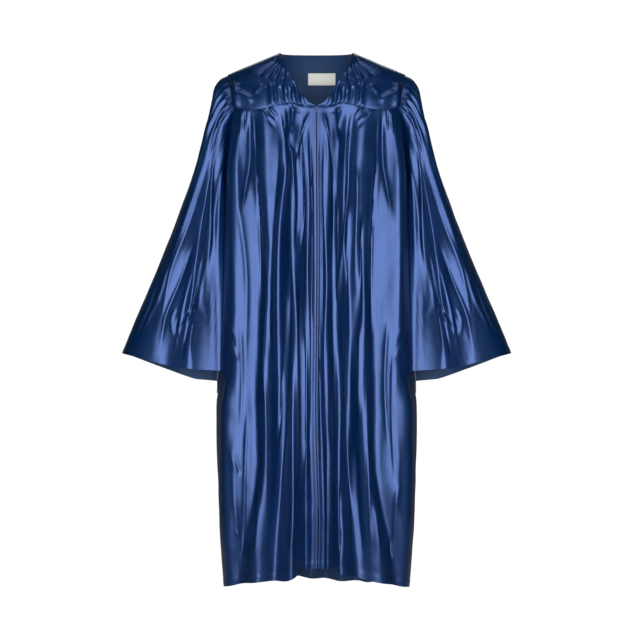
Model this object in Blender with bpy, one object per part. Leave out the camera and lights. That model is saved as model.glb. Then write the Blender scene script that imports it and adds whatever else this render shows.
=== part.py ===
"""Graduation gown, open and hollow as when it is worn, with a zip down its front.

Metres, +Z up, the front faces -Y. The origin lies between the shoulders at the height of
the neck points, where the wearer carries the gown. Heights are given as drops, measured
down from there. Left and right are as seen from the front.
"""

import math

import bmesh
import bpy
import numpy as np

# Cloth and sewing
CLOTH = 0.0012
SEAM_GAP = 0.0003
TAPE_THICK = 0.0010
SIDE = {"left": -1.0, "right": 1.0}
FRONT = -1.0
BACK = 1.0

# Shoulders and neck
NECK_HALF = 0.078
NECK_BASE_RISE = 0.034
BACK_NECK_RISE = 0.003
SHOULDER_HALF = 0.191
SHOULDER_DROP = 0.047
YOKE_CORNER_HALF = 0.174
BACK_CORNER_HALF = 0.176
UNDERARM_DROP = 0.290

# The plain body, an oval ring at each drop: half width, front depth, back depth, squareness
BODY_RINGS = (
    (0.080, 0.1920, 0.0935, 0.0880, 3.2),
    (0.125, 0.1920, 0.0940, 0.0885, 3.2),
    (0.200, 0.1950, 0.0980, 0.0950, 3.0),
    (0.290, 0.1975, 0.1030, 0.1000, 2.8),
    (0.402, 0.2020, 0.1070, 0.1040, 2.6),
    (0.574, 0.2070, 0.1100, 0.1080, 2.5),
    (0.700, 0.2090, 0.1110, 0.1110, 2.45),
    (0.790, 0.2120, 0.1120, 0.1130, 2.4),
    (0.940, 0.2060, 0.1140, 0.1160, 2.4),
    (1.160, 0.1950, 0.1160, 0.1200, 2.4),
)

# Seams and hems as across, drop
FRONT_SEAM = (
    (0.000, 0.1241),
    (0.020, 0.1256),
    (0.052, 0.1198),
    (0.079, 0.1222),
    (0.115, 0.1308),
    (0.174, 0.1295),
)
BACK_SEAM = ((0.000, 0.1500), (0.090, 0.1480), (0.176, 0.1380))
FRONT_HEM = {
    "left": (
        (0.000, 1.0970),
        (0.030, 1.1000),
        (0.049, 1.1115),
        (0.120, 1.1210),
        (0.170, 1.1310),
        (0.196, 1.1430),
    ),
    "right": (
        (0.000, 1.0950),
        (0.045, 1.1000),
        (0.072, 1.1065),
        (0.120, 1.1200),
        (0.170, 1.1330),
        (0.196, 1.1430),
    ),
}
BACK_HEM = (
    (-0.196, 1.1430),
    (-0.120, 1.1430),
    (-0.040, 1.1440),
    (0.050, 1.1520),
    (0.110, 1.1530),
    (0.196, 1.1430),
)

# The V of the neck as profile angle in degrees from the shoulder line, across
NECK_EDGE = (
    (0.0, 0.0780),
    (23.0, 0.0785),
    (40.0, 0.0715),
    (54.0, 0.0637),
    (71.0, 0.0449),
    (80.0, 0.0312),
    (86.3, 0.0225),
    (90.0, 0.0015),
)
YOKE_TURNS = (0.0, 20.0, 38.0, 54.0, 67.0, 78.0, 85.0, 90.0)

# The armhole below the yoke: share of the way down to the underarm, share of its opening
ARMHOLE = ((0.00, 1.00), (0.22, 0.72), (0.50, 0.56), (0.75, 0.40), (0.90, 0.24), (1.00, 0.00))
ARMHOLE_ROWS = (0.19, 0.41, 0.64, 0.84, 1.00)
PANEL_ROWS = (0.08, 0.18, 0.30, 0.42, 0.54, 0.66, 0.77, 0.87, 0.94, 1.00)

# The zip: its opening, the tape's reach to each side, and how its line wanders
ZIP_GAP = 0.0030
TAPE_REACH = 0.0120
ZIP_END_SHARE = 0.87
ZIP_LINE = ((0.12, 0.000), (0.50, 0.001), (0.80, -0.001), (1.00, 0.004), (1.15, 0.001))

# Fold lines of the fronts, from the zip outwards. Each runs down the panel through the
# drops below, with its distance from the middle and its height over the plain body.
FOLD_DROPS = (0.125, 0.155, 0.241, 0.407, 0.574, 0.741, 0.907, 1.074, 1.150)
ZIP_EDGE_OUT = (0.000, 0.000, -0.001, -0.004, -0.008, -0.013, -0.021, -0.034, -0.040)
FRONT_FOLDS = {
    "left": {
        "tape_ridge": (
            (TAPE_REACH,) * 9,
            (0.000, 0.000, 0.000, -0.003, -0.006, -0.011, -0.019, -0.032, -0.038),
        ),
        "inner_hollow": (
            (0.030, 0.030, 0.028, 0.022, 0.023, 0.023, 0.023, 0.023, 0.023),
            (0.000, -0.002, -0.006, -0.009, -0.013, -0.018, -0.026, -0.038, -0.043),
        ),
        "inner_ridge": (
            (0.056, 0.056, 0.052, 0.050, 0.046, 0.046, 0.048, 0.051, 0.052),
            (0.000, 0.003, 0.005, 0.007, 0.009, 0.011, 0.013, 0.014, 0.014),
        ),
        "inner_pleat": (
            (0.070, 0.069, 0.067, 0.076, 0.078, 0.074, 0.076, 0.088, 0.092),
            (0.000, -0.006, -0.008, -0.012, -0.014, -0.016, -0.017, -0.014, -0.013),
        ),
        "middle_ridge": (
            (0.110, 0.108, 0.106, 0.099, 0.101, 0.105, 0.107, 0.120, 0.122),
            (0.000, 0.003, 0.004, 0.006, 0.008, 0.009, 0.010, 0.011, 0.011),
        ),
        "outer_pleat": (
            (0.135, 0.137, 0.139, 0.122, 0.122, 0.129, 0.128, 0.158, 0.164),
            (0.000, -0.005, -0.007, -0.007, -0.006, -0.007, -0.007, -0.004, -0.003),
        ),
        "outer_ridge": (
            (0.157, 0.160, 0.168, 0.164, 0.162, 0.163, 0.166, 0.180, 0.183),
            (0.000, 0.003, 0.004, 0.006, 0.008, 0.008, 0.008, 0.006, 0.005),
        ),
    },
    "right": {
        "tape_ridge": (
            (TAPE_REACH,) * 9,
            (0.000, 0.000, 0.000, -0.003, -0.006, -0.010, -0.018, -0.031, -0.037),
        ),
        "inner_hollow": (
            (0.028, 0.027, 0.024, 0.023, 0.023, 0.023, 0.023, 0.025, 0.025),
            (0.000, -0.001, -0.004, -0.008, -0.011, -0.016, -0.024, -0.036, -0.041),
        ),
        "inner_ridge": (
            (0.045, 0.046, 0.044, 0.040, 0.041, 0.047, 0.046, 0.050, 0.052),
            (0.000, 0.003, 0.005, 0.006, 0.008, 0.011, 0.012, 0.010, 0.009),
        ),
        "inner_pleat": (
            (0.070, 0.067, 0.063, 0.061, 0.070, 0.070, 0.072, 0.088, 0.093),
            (0.000, -0.006, -0.008, -0.011, -0.015, -0.017, -0.018, -0.013, -0.010),
        ),
        "middle_ridge": (
            (0.098, 0.096, 0.092, 0.093, 0.097, 0.097, 0.107, 0.130, 0.136),
            (0.000, 0.003, 0.004, 0.006, 0.008, 0.008, 0.010, 0.011, 0.011),
        ),
        "outer_pleat": (
            (0.137, 0.137, 0.136, 0.120, 0.120, 0.125, 0.128, 0.160, 0.167),
            (0.000, -0.005, -0.007, -0.008, -0.008, -0.008, -0.008, -0.004, -0.003),
        ),
        "outer_ridge": (
            (0.158, 0.162, 0.167, 0.163, 0.161, 0.159, 0.160, 0.181, 0.184),
            (0.000, 0.003, 0.004, 0.007, 0.008, 0.008, 0.008, 0.006, 0.005),
        ),
    },
}

# Fold lines of the back from the left side to the right: distance across, height out
BACK_DROPS = (0.150, 0.185, 0.407, 0.741, 1.150)
BACK_FOLDS = (
    ((-0.160, -0.162, -0.164, -0.160, -0.172), (0.000, 0.003, 0.006, 0.008, 0.006)),
    ((-0.134, -0.134, -0.126, -0.130, -0.142), (0.000, -0.005, -0.008, -0.009, -0.008)),
    ((-0.106, -0.105, -0.100, -0.104, -0.112), (0.000, 0.003, 0.007, 0.009, 0.011)),
    ((-0.080, -0.079, -0.073, -0.074, -0.082), (0.000, -0.006, -0.010, -0.012, -0.014)),
    ((-0.053, -0.052, -0.044, -0.042, -0.046), (0.000, 0.003, 0.006, 0.010, 0.013)),
    ((-0.024, -0.023, -0.014, -0.010, -0.012), (0.000, -0.005, -0.009, -0.013, -0.016)),
    ((0.010, 0.012, 0.020, 0.024, 0.020), (0.000, 0.003, 0.008, 0.011, 0.014)),
    ((0.042, 0.044, 0.050, 0.053, 0.055), (0.000, -0.005, -0.009, -0.011, -0.013)),
    ((0.072, 0.073, 0.079, 0.079, 0.088), (0.000, 0.003, 0.006, 0.008, 0.010)),
    ((0.101, 0.101, 0.107, 0.105, 0.118), (0.000, -0.006, -0.009, -0.010, -0.011)),
    ((0.128, 0.129, 0.136, 0.133, 0.146), (0.000, 0.003, 0.007, 0.009, 0.009)),
    ((0.150, 0.151, 0.158, 0.157, 0.170), (0.000, -0.004, -0.004, -0.004, -0.003)),
)

# Columns of the mesh between one fold line and the next
FRONT_COLUMNS = (2, 2, 3, 3, 4, 3, 3, 5)
BACK_COLUMNS = (4, 3, 3, 3, 3, 3, 3, 3, 3, 3, 3, 3, 4)

# The sleeve's overarm line, half width by drop, from the shoulder to the cuff's tip
OVERARM = (
    (0.047, 0.1910),
    (0.058, 0.2010),
    (0.079, 0.2140),
    (0.101, 0.2205),
    (0.122, 0.2270),
    (0.166, 0.2380),
    (0.209, 0.2480),
    (0.252, 0.2610),
    (0.338, 0.2920),
    (0.424, 0.3250),
    (0.510, 0.3610),
    (0.596, 0.3985),
    (0.645, 0.4180),
)
CUFF_INNER_DROP = 0.732
BODY_TO_SLEEVE = 0.0038
ARMHOLE_SHIFT = 0.0004
SLEEVE_DEPTH = ((0.0, 0.058), (0.3, 0.066), (0.6, 0.070), (1.0, 0.064))
SLEEVE_ROWS = (0.0, 0.035, 0.085, 0.16, 0.25, 0.36, 0.48, 0.60, 0.72, 0.83, 0.92, 1.0)
ARMHOLE_BLEND_END = 0.35
HEM_SHAPE_START = 0.45

# The cuff's edge as share of the way from its tip to the body, front drop, back drop
CUFF_EDGE = (
    (0.00, 0.6450, 0.6450),
    (0.35, 0.6605, 0.6745),
    (0.55, 0.6715, 0.6890),
    (0.85, 0.6825, 0.7095),
    (0.93, 0.6860, 0.7150),
    (0.97, 0.7200, 0.7230),
    (1.00, 0.7320, 0.7320),
)

# Fold lines of a sleeve by share of its length: share of the way in from the overarm
# line, and height over the plain tube
SLEEVE_SHARES = (0.00, 0.10, 0.30, 0.50, 0.70, 0.85, 1.00)
SLEEVE_FOLDS_FRONT = (
    ((0.14, 0.14, 0.15, 0.18, 0.20, 0.28, 0.42), (0.0, 0.003, 0.006, 0.007, 0.008, 0.008, 0.007)),
    ((0.34, 0.34, 0.38, 0.50, 0.61, 0.66, 0.70), (0.0, -0.002, -0.006, -0.009, -0.011, -0.012, -0.012)),
    ((0.64, 0.64, 0.70, 0.79, 0.85, 0.88, 0.90), (0.0, 0.001, 0.003, 0.004, 0.004, 0.004, 0.004)),
)
SLEEVE_FOLDS_BACK = (
    ((0.18, 0.18, 0.20, 0.24, 0.27, 0.31, 0.34), (0.0, 0.002, 0.005, 0.007, 0.008, 0.008, 0.008)),
    ((0.42, 0.42, 0.46, 0.52, 0.57, 0.60, 0.62), (0.0, -0.002, -0.006, -0.009, -0.011, -0.011, -0.010)),
    ((0.70, 0.70, 0.74, 0.78, 0.82, 0.84, 0.85), (0.0, 0.001, 0.003, 0.004, 0.005, 0.005, 0.005)),
)

# Gathers of the sleeve cap: height, where they are fullest and where they have faded
GATHER_HEIGHT = 0.0022
GATHER_FULL = 0.06
GATHER_END = 0.26

# The label inside the back yoke
LABEL_SIZE = (0.060, 0.025)
LABEL_CENTRE = (0.0115, 0.0455)
LABEL_THICK = 0.0010
LABEL_CLEAR = 0.0010
LABEL_CELLS = (6, 3)

# The zip's slider and pull tab
SLIDER_TOP_DROP = 0.1272
SLIDER_LENGTH = 0.0095
SLIDER_WIDTH = 0.0076
PLATE = 0.0010
WEB_WIDTH = 0.0018
BRIDGE_WIDTH = 0.0014
BRIDGE_BAR = 0.0009
BRIDGE_HOLE = (0.0022, 0.0019)
TAB_WIDTH = 0.0058
TAB_LENGTH = 0.0170
TAB_THICK = 0.0010
TAB_EYE = (0.0021, 0.0024)
TAB_SLOT = (0.0030, 0.0060)
TAB_SLOT_DROP = 0.0120
TRIM_ROUND = 0.0004
EMBED = 0.0002

# Colours as linear red, green, blue, then metallic and roughness
FINISHES = {
    "satin": ((0.016, 0.040, 0.150), 0.45, 0.34),
    "zip_tape": ((0.010, 0.022, 0.080), 0.0, 0.75),
    "zip_metal": ((0.020, 0.040, 0.130), 0.6, 0.30),
    "label_cloth": ((0.800, 0.780, 0.700), 0.0, 0.80),
}


def through(at, knots, values):
    """A smooth curve through the knots, which rise, read at the given places."""
    knots = np.asarray(knots, float)
    values = np.asarray(values, float)
    at = np.clip(np.asarray(at, float), knots[0], knots[-1])
    slope = np.gradient(values, knots)
    i = np.clip(np.searchsorted(knots, at, side="right") - 1, 0, len(knots) - 2)
    span = knots[i + 1] - knots[i]
    t = (at - knots[i]) / span
    near = values[i] * (2 * t**3 - 3 * t**2 + 1) + slope[i] * span * (t**3 - 2 * t**2 + t)
    far = values[i + 1] * (3 * t**2 - 2 * t**3) + slope[i + 1] * span * (t**3 - t**2)
    return near + far


def table(rows, at, column=1):
    """One column of a table of rows, read smoothly by the rows' first column."""
    return through(at, [row[0] for row in rows], [row[column] for row in rows])


def eased(t):
    """A soft step from 0 to 1."""
    return 0.5 - 0.5 * np.cos(np.pi * np.clip(t, 0.0, 1.0))


def ring_sizes(drop, face):
    """Half width, depth and squareness of the plain body."""
    depth = table(BODY_RINGS, drop, 2 if face == FRONT else 3)
    return table(BODY_RINGS, drop, 1), depth, table(BODY_RINGS, drop, 4)


def ring_depth(across, drop, face):
    """How far the plain body lies from the plane of the shoulders."""
    half, depth, square = ring_sizes(drop, face)
    share = np.clip(np.abs(across) / half, 0.0, 1.0)
    return depth * (1.0 - share**square) ** (1.0 / square)


def bearing(across, drop, face):
    """The angle from the middle of the front or back, negative to the left."""
    return np.arctan2(across, ring_depth(across, drop, face))


def on_ring(angle, drop, face):
    """The point of the plain body at a bearing, and the way out from it."""
    half, depth, square = ring_sizes(drop, face)
    side, deep = np.abs(np.sin(angle)) / half, np.abs(np.cos(angle)) / depth
    reach = (side**square + deep**square) ** (-1.0 / square)
    across, ahead = reach * np.sin(angle), reach * np.cos(angle) * face
    out_x = np.sign(across) * (np.abs(across) / half) ** (square - 1) / half
    out_y = np.sign(ahead) * (np.abs(ahead) / depth) ** (square - 1) / depth
    size = np.hypot(out_x, out_y)
    return across, ahead, out_x / size, out_y / size


def armhole_bearing(drop, face):
    """The bearing of the armhole's edge, and of the side seam below the underarm."""
    corner_half, seam = (YOKE_CORNER_HALF, FRONT_SEAM) if face == FRONT else (BACK_CORNER_HALF, BACK_SEAM)
    corner_drop = seam[-1][1]
    opening = math.pi / 2 - bearing(corner_half, corner_drop, face)
    way = (drop - corner_drop) / (UNDERARM_DROP - corner_drop)
    share = np.where(way < 1.0, table(ARMHOLE, way), 0.0)
    side_gap = SEAM_GAP / 2 / table(BODY_RINGS, drop, 1)
    return math.pi / 2 - np.maximum(opening * share, side_gap)


def zip_edge(side, drop):
    """How far across a front's edge at the zip lies."""
    return table(ZIP_LINE, drop) + side * ZIP_GAP / 2


def front_lines(name):
    """Bearing and height of each fold line of a front, from the zip to the side."""
    side = SIDE[name]

    def fold(key):
        spots, heights = FRONT_FOLDS[name][key]

        def read(drop):
            middle = table(ZIP_LINE, drop) if key == "tape_ridge" else 0.0
            across = middle + side * through(drop, FOLD_DROPS, spots)
            return bearing(across, drop, FRONT), through(drop, FOLD_DROPS, heights)

        return read

    def edge(drop):
        return bearing(zip_edge(side, drop), drop, FRONT), through(drop, FOLD_DROPS, ZIP_EDGE_OUT)

    def outer(drop):
        return side * armhole_bearing(drop, FRONT), np.zeros_like(drop)

    return [edge, *(fold(key) for key in FRONT_FOLDS[name]), outer]


def back_lines():
    """Bearing and height of each fold line of the back, from left to right."""

    def fold(spots, heights):
        def read(drop):
            across = through(drop, BACK_DROPS, spots)
            return bearing(across, drop, BACK), through(drop, BACK_DROPS, heights)

        return read

    def outer(side):
        return lambda drop: (side * armhole_bearing(drop, BACK), np.zeros_like(drop))

    return [outer(-1.0), *(fold(*line) for line in BACK_FOLDS), outer(1.0)]


def panel_surface(lines, face, top, hem):
    """A body panel as a function of the place between its fold lines and the way down."""

    def across_at(place, drop):
        angle, _ = between(place, np.full_like(place, drop))
        return on_ring(angle, np.full_like(place, drop), face)[0]

    def between(place, drop):
        angle, height = np.empty_like(drop), np.empty_like(drop)
        for k in range(len(lines) - 1):
            last = k == len(lines) - 2
            here = (place >= k if k else place > -1) & ((place < k + 1) | last)
            if here.any():
                start, end = lines[k](drop[here]), lines[k + 1](drop[here])
                part = place[here] - k
                angle[here] = start[0] + (end[0] - start[0]) * part
                height[here] = start[1] + (end[1] - start[1]) * (0.5 - 0.5 * np.cos(np.pi * part))
        return angle, height

    def surface(place, down):
        place, down = np.broadcast_arrays(place, down)
        seam = top(across_at(place, BODY_RINGS[1][0])) + SEAM_GAP / 2
        end = hem(across_at(place, BODY_RINGS[-1][0]))
        drop = seam + (end - seam) * down
        angle, height = between(place, drop)
        across, ahead, out_x, out_y = on_ring(angle, drop, face)
        return np.stack([across + out_x * height, ahead + out_y * height, -drop], axis=-1)

    return surface


def front_surface(name):
    lines = front_lines(name)
    hem = FRONT_HEM[name]
    return panel_surface(
        lines,
        FRONT,
        lambda across: table(FRONT_SEAM, np.abs(across)),
        lambda across: table(hem, np.abs(across)),
    )


def back_surface():
    return panel_surface(
        back_lines(),
        BACK,
        lambda across: table(BACK_SEAM, np.abs(across)),
        lambda across: table(BACK_HEM, across),
    )


def shoulder_rise(across):
    """Height of the shoulder line, carried on over the neck's base."""
    outward = np.clip((np.abs(across) - NECK_HALF) / (SHOULDER_HALF - NECK_HALF), 0.0, None)
    inward = np.clip(1.0 - (np.abs(across) / NECK_HALF) ** 2, 0.0, None)
    return NECK_BASE_RISE * inward - SHOULDER_DROP * outward


def yoke_point(across, turn, face):
    """A point of the yoke, from the shoulder line at turn 0 to the seam at 90 degrees."""
    seam = FRONT_SEAM if face == FRONT else BACK_SEAM
    seam_drop = table(seam, np.abs(across))
    ridge = shoulder_rise(across)
    depth = ring_depth(across, seam_drop, face)
    height = ridge - (ridge + seam_drop - SEAM_GAP / 2) * (1.0 - np.cos(turn))
    ahead = depth * np.sin(turn) + SEAM_GAP / 2
    return np.stack([across, face * ahead, height], axis=-1)


def yoke_side(turn):
    """How far across the yoke's armhole edge lies."""
    return SHOULDER_HALF - (SHOULDER_HALF - YOKE_CORNER_HALF) * (1.0 - np.cos(turn))


def yoke_side_back(turn):
    return SHOULDER_HALF - (SHOULDER_HALF - BACK_CORNER_HALF) * (1.0 - np.cos(turn))


def grid_of(surface, places, ways):
    """Points and outward normals of a surface on a grid of rows and columns."""
    step = 1e-3
    place, way = np.meshgrid(places, ways)
    points = surface(place, way)
    along = surface(place + step, way) - surface(place - step, way)
    down = surface(place, way + step) - surface(place, way - step)
    normal = np.cross(along, down)
    normal /= np.linalg.norm(normal, axis=-1, keepdims=True)
    away = points * (1.0, 1.0, 0.0)
    if (normal * away).sum() < 0:
        normal = -normal
    return points, normal


def finish(slot):
    """The plain material of a slot, made once."""
    made = bpy.data.materials.get(slot)
    if made:
        return made
    colour, metallic, rough = FINISHES[slot]
    made = bpy.data.materials.new(slot)
    made.use_nodes = True
    shader = made.node_tree.nodes["Principled BSDF"]
    shader.inputs["Base Color"].default_value = (*colour, 1.0)
    shader.inputs["Metallic"].default_value = metallic
    shader.inputs["Roughness"].default_value = rough
    return made


def add_object(name, mesh, slot):
    piece = bpy.data.objects.new(name, mesh)
    bpy.context.scene.collection.objects.link(piece)
    mesh.materials.append(finish(slot))
    return piece


def wall(name, outer, inner, slot, ring=False, short_cuts=False):
    """A closed cloth wall between two grids of the same rows and columns.

    With short_cuts each cell is split along its shorter diagonal.
    """
    rows, columns = outer.shape[:2]
    falling = np.linalg.norm(outer[:-1, :-1] - outer[1:, 1:], axis=-1)
    rising = np.linalg.norm(outer[:-1, 1:] - outer[1:, :-1], axis=-1)
    mesh = bmesh.new()
    sheets = []
    for grid in (outer, inner):
        sheets.append([[mesh.verts.new(point) for point in row] for row in grid])
    spans = columns if ring else columns - 1

    def cell(sheet, i, j):
        k = (j + 1) % columns
        return sheet[i][j], sheet[i][k], sheet[i + 1][k], sheet[i + 1][j]

    for sheet in sheets:
        for i in range(rows - 1):
            for j in range(spans):
                a, b, c, d = cell(sheet, i, j)
                if short_cuts and rising[i, j] < falling[i, j]:
                    a, b, c, d = b, c, d, a
                mesh.faces.new((a, b, c))
                mesh.faces.new((a, c, d))
    out, back = sheets
    for i in (0, rows - 1):
        for j in range(spans):
            k = (j + 1) % columns
            mesh.faces.new((out[i][j], out[i][k], back[i][k], back[i][j]))
    for j in () if ring else (0, columns - 1):
        for i in range(rows - 1):
            mesh.faces.new((out[i][j], out[i + 1][j], back[i + 1][j], back[i][j]))
    bmesh.ops.recalc_face_normals(mesh, faces=mesh.faces)
    data = bpy.data.meshes.new(name)
    mesh.to_mesh(data)
    mesh.free()
    data.shade_smooth()
    data.set_sharp_from_angle(angle=math.radians(50))
    return add_object(name, data, slot)


def column_places(counts):
    """The places of the mesh's columns, whole numbers on the fold lines."""
    places = [k + j / count for k, count in enumerate(counts) for j in range(count)]
    return np.array([*places, float(len(counts))])


def panel_ways(surface, side_place, corner_drop):
    """The mesh's rows: down the armhole to the underarm, then down the side seam."""
    ends = surface(np.array([side_place, side_place]), np.array([0.0, 1.0]))[:, 2]
    to_underarm = (UNDERARM_DROP - corner_drop) / (ends[0] - ends[1])
    ways = [0.0, *(to_underarm * share for share in ARMHOLE_ROWS)]
    ways += [to_underarm + (1.0 - to_underarm) * share for share in PANEL_ROWS]
    return np.array(ways)


def make_front(name):
    """One front panel and its zip tape. Returns the panel's armhole edge."""
    surface = front_surface(name)
    places = column_places(FRONT_COLUMNS)
    ways = panel_ways(surface, places[-1], FRONT_SEAM[-1][1])
    points, normal = grid_of(surface, places, ways)
    wall(f"front_{name}", points, points - CLOTH * normal, "satin")
    tape = slice(0, FRONT_COLUMNS[0] + 1)
    share = (ways - ways[len(ARMHOLE_ROWS)]) / (1.0 - ways[len(ARMHOLE_ROWS)])
    rows = share <= ZIP_END_SHARE + 1e-6
    lain = points[rows, tape] - (CLOTH + SEAM_GAP) * normal[rows, tape]
    wall(f"zip_tape_{name}", lain, lain - TAPE_THICK * normal[rows, tape], "zip_tape")
    edge = slice(0, len(ARMHOLE_ROWS) + 1)
    return points[0], points[edge, -1], normal[edge, -1]


def make_back():
    """The back panel. Returns its top edge and its two armhole edges."""
    surface = back_surface()
    places = column_places(BACK_COLUMNS)
    ways = panel_ways(surface, places[-1], BACK_SEAM[-1][1])
    points, normal = grid_of(surface, places, ways)
    wall("back", points, points - CLOTH * normal, "satin")
    edge = slice(0, len(ARMHOLE_ROWS) + 1)
    return points[0], {
        "left": (points[edge, 0], normal[edge, 0]),
        "right": (points[edge, -1], normal[edge, -1]),
    }


def make_front_yoke(name, seam_points):
    """A front yoke over the top edge of its front. Returns its armhole edge."""
    side = SIDE[name]
    inner, outer = abs(seam_points[0][0]), abs(seam_points[-1][0])
    bottom = (np.abs(seam_points[:, 0]) - inner) / (outer - inner)
    even = np.linspace(0.0, 1.0, len(bottom))

    def surface(place, way):
        turn = math.pi / 2 * way
        neck = table(NECK_EDGE, np.degrees(turn))
        share = np.interp(place, even, bottom) * way + place * (1.0 - way)
        across = neck + (yoke_side(turn) - neck) * share
        return yoke_point(side * across, turn, FRONT)

    ways = np.array(YOKE_TURNS) / 90.0
    points, normal = yoke_grid(surface, even, ways)
    wall(f"yoke_front_{name}", points, points - CLOTH * normal, "satin")
    return points[:, -1], normal[:, -1]


def yoke_grid(surface, places, ways):
    """As grid_of, with the normals of a yoke, which face up and out."""
    points, normal = grid_of(surface, places, ways)
    upward = normal * (points + (0.0, 0.0, 0.2))
    if upward.sum() < 0:
        normal = -normal
    return points, normal


def make_back_yoke(seam_points):
    """The back yoke, its neck edge between the shoulder lines, and its label."""
    bottom = seam_points[:, 0] / seam_points[-1][0]
    neck_share = NECK_HALF / SHOULDER_HALF
    corners = [int(np.abs(bottom - share).argmin()) for share in (-neck_share, neck_share)]
    knots = [bottom[0], bottom[corners[0]], bottom[corners[1]], bottom[-1]]
    top = np.interp(bottom, knots, [-1.0, -neck_share, neck_share, 1.0])

    def surface(place, way):
        low, high = np.interp(place, even, bottom), np.interp(place, even, top)
        reach = np.abs(high) * SHOULDER_HALF
        ridge = shoulder_rise(reach)
        edge = BACK_NECK_RISE * np.clip(1.0 - (reach / NECK_HALF) ** 2, 0.0, None)
        seam_drop = table(BACK_SEAM, reach)
        rise = np.where(reach < NECK_HALF, (ridge - edge) / (ridge + seam_drop), 0.0)
        start = np.arccos(np.clip(1.0 - rise, -1.0, 1.0))
        turn = start + (math.pi / 2 - start) * way
        share = high + (low - high) * way
        return yoke_point(share * yoke_side_back(turn), turn, BACK)

    even = np.linspace(0.0, 1.0, len(bottom))
    ways = np.array(YOKE_TURNS) / 90.0
    points, normal = yoke_grid(surface, even, ways)
    wall("yoke_back", points, points - CLOTH * normal, "satin", short_cuts=True)
    return {
        "left": (points[:, 0], normal[:, 0]),
        "right": (points[:, -1], normal[:, -1]),
    }


def make_label():
    """The label, on the inside of the back yoke below the neck edge."""
    width, height = LABEL_SIZE

    def surface(place, way):
        across = LABEL_CENTRE[0] + (place - 0.5) * width
        drop = LABEL_CENTRE[1] + (way - 0.5) * height
        ridge = shoulder_rise(across)
        seam_drop = table(BACK_SEAM, np.abs(across))
        turn = np.arccos(1.0 - (ridge + drop) / (ridge + seam_drop))
        return yoke_point(across, turn, BACK)

    places = np.linspace(0.0, 1.0, LABEL_CELLS[0] + 1)
    ways = np.linspace(0.0, 1.0, LABEL_CELLS[1] + 1)
    points, normal = yoke_grid(surface, places, ways)
    lain = points - (CLOTH + LABEL_CLEAR) * normal
    wall("size_label", lain, lain - LABEL_THICK * normal, "label_cloth")


def halved(points):
    """The points again with one more in the middle of each step."""
    middle = (points[1:] + points[:-1]) / 2
    woven = np.empty((len(points) * 2 - 1, 3))
    woven[0::2] = points
    woven[1::2] = middle
    return woven


def armhole_loop(edges):
    """One loop round the armhole, from the shoulder down the front and up the back."""
    yoke_front, front, back, yoke_back = edges
    parts = []
    for k in range(2):
        corner_front = (yoke_front[k][-1] + front[k][0]) / 2
        corner_back = (yoke_back[k][-1] + back[k][0]) / 2
        underarm = (front[k][-1] + back[k][-1]) / 2
        shoulder = (yoke_front[k][0] + yoke_back[k][0]) / 2
        down = [[shoulder], yoke_front[k][1:-1], [corner_front], front[k][1:-1], [underarm]]
        up = [back[k][1:-1][::-1], [corner_back], yoke_back[k][1:-1][::-1], [shoulder]]
        parts.append(halved(np.concatenate(down + up))[:-1])
    loop, normal = parts
    return loop, normal / np.linalg.norm(normal, axis=1, keepdims=True)


def sleeve_grid(loop, side):
    """The plain sleeve: rows of ovals from the armhole loop to the cuff."""
    steps = np.linalg.norm(np.roll(loop, -1, axis=0) - loop, axis=1)
    gone = np.concatenate([[0.0], np.cumsum(steps)[:-1]])
    low = int(loop[:, 2].argmin())
    full = np.where(
        np.arange(len(loop)) <= low,
        np.pi * gone / gone[low],
        np.pi + np.pi * (gone - gone[low]) / (steps.sum() - gone[low]),
    )
    rows = np.array(SLEEVE_ROWS)[:, None]
    over_drop = OVERARM[0][0] + (OVERARM[-1][0] - OVERARM[0][0]) * rows
    over = side * table(OVERARM, over_drop)
    under_drop = UNDERARM_DROP + (CUFF_INNER_DROP - UNDERARM_DROP) * rows
    clear = BODY_TO_SLEEVE * eased(rows / SLEEVE_ROWS[2])
    under = side * (table(BODY_RINGS, under_drop, 1) + clear)
    depth = table(SLEEVE_DEPTH, rows)
    share = (1.0 - np.cos(full)) / 2
    flat = np.stack(
        [
            over + (under - over) * share,
            -depth * np.sin(full),
            -(over_drop + (under_drop - over_drop) * share),
        ],
        axis=-1,
    )
    pull = np.clip(1.0 - rows / ARMHOLE_BLEND_END, 0.0, 1.0)[:, :, None] ** 2
    flat = flat + (loop - flat[0]) * pull
    edge = np.where(np.sin(full) >= 0, table(CUFF_EDGE, share, 1), table(CUFF_EDGE, share, 2))
    settle = eased((rows - HEM_SHAPE_START) / (1.0 - HEM_SHAPE_START))
    flat[:, :, 2] += (-edge - flat[-1, :, 2]) * settle
    return flat, share, full


def grid_normals(grid):
    """Outward normals of a closed sleeve grid, from its neighbouring points."""
    around = np.roll(grid, -1, axis=1) - np.roll(grid, 1, axis=1)
    down = np.gradient(grid, axis=0)
    normal = np.cross(around, down)
    normal /= np.linalg.norm(normal, axis=-1, keepdims=True)
    away = grid - grid.mean(axis=1, keepdims=True)
    return normal if (normal * away).sum() > 0 else -normal


def sleeve_heights(share, full):
    """Height of the folds over the plain sleeve."""
    rows = np.array(SLEEVE_ROWS)
    heights = np.zeros((len(rows), len(share)))
    for i, row in enumerate(rows):
        for folds, here in ((SLEEVE_FOLDS_FRONT, np.sin(full) >= 0), (SLEEVE_FOLDS_BACK, np.sin(full) < 0)):
            spots = [0.0, *(float(through(row, SLEEVE_SHARES, fold[0])) for fold in folds), 1.0]
            levels = [0.0, *(float(through(row, SLEEVE_SHARES, fold[1])) for fold in folds), 0.0]
            turned = np.arccos(1.0 - 2.0 * np.array(spots))
            at = np.arccos(np.clip(1.0 - 2.0 * share, -1.0, 1.0))
            k = np.clip(np.searchsorted(turned, at, side="right") - 1, 0, len(spots) - 2)
            part = eased((at - turned[k]) / (turned[k + 1] - turned[k]))
            levels = np.array(levels)
            heights[i, here] = (levels[k] + (levels[k + 1] - levels[k]) * part)[here]
    return heights


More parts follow.
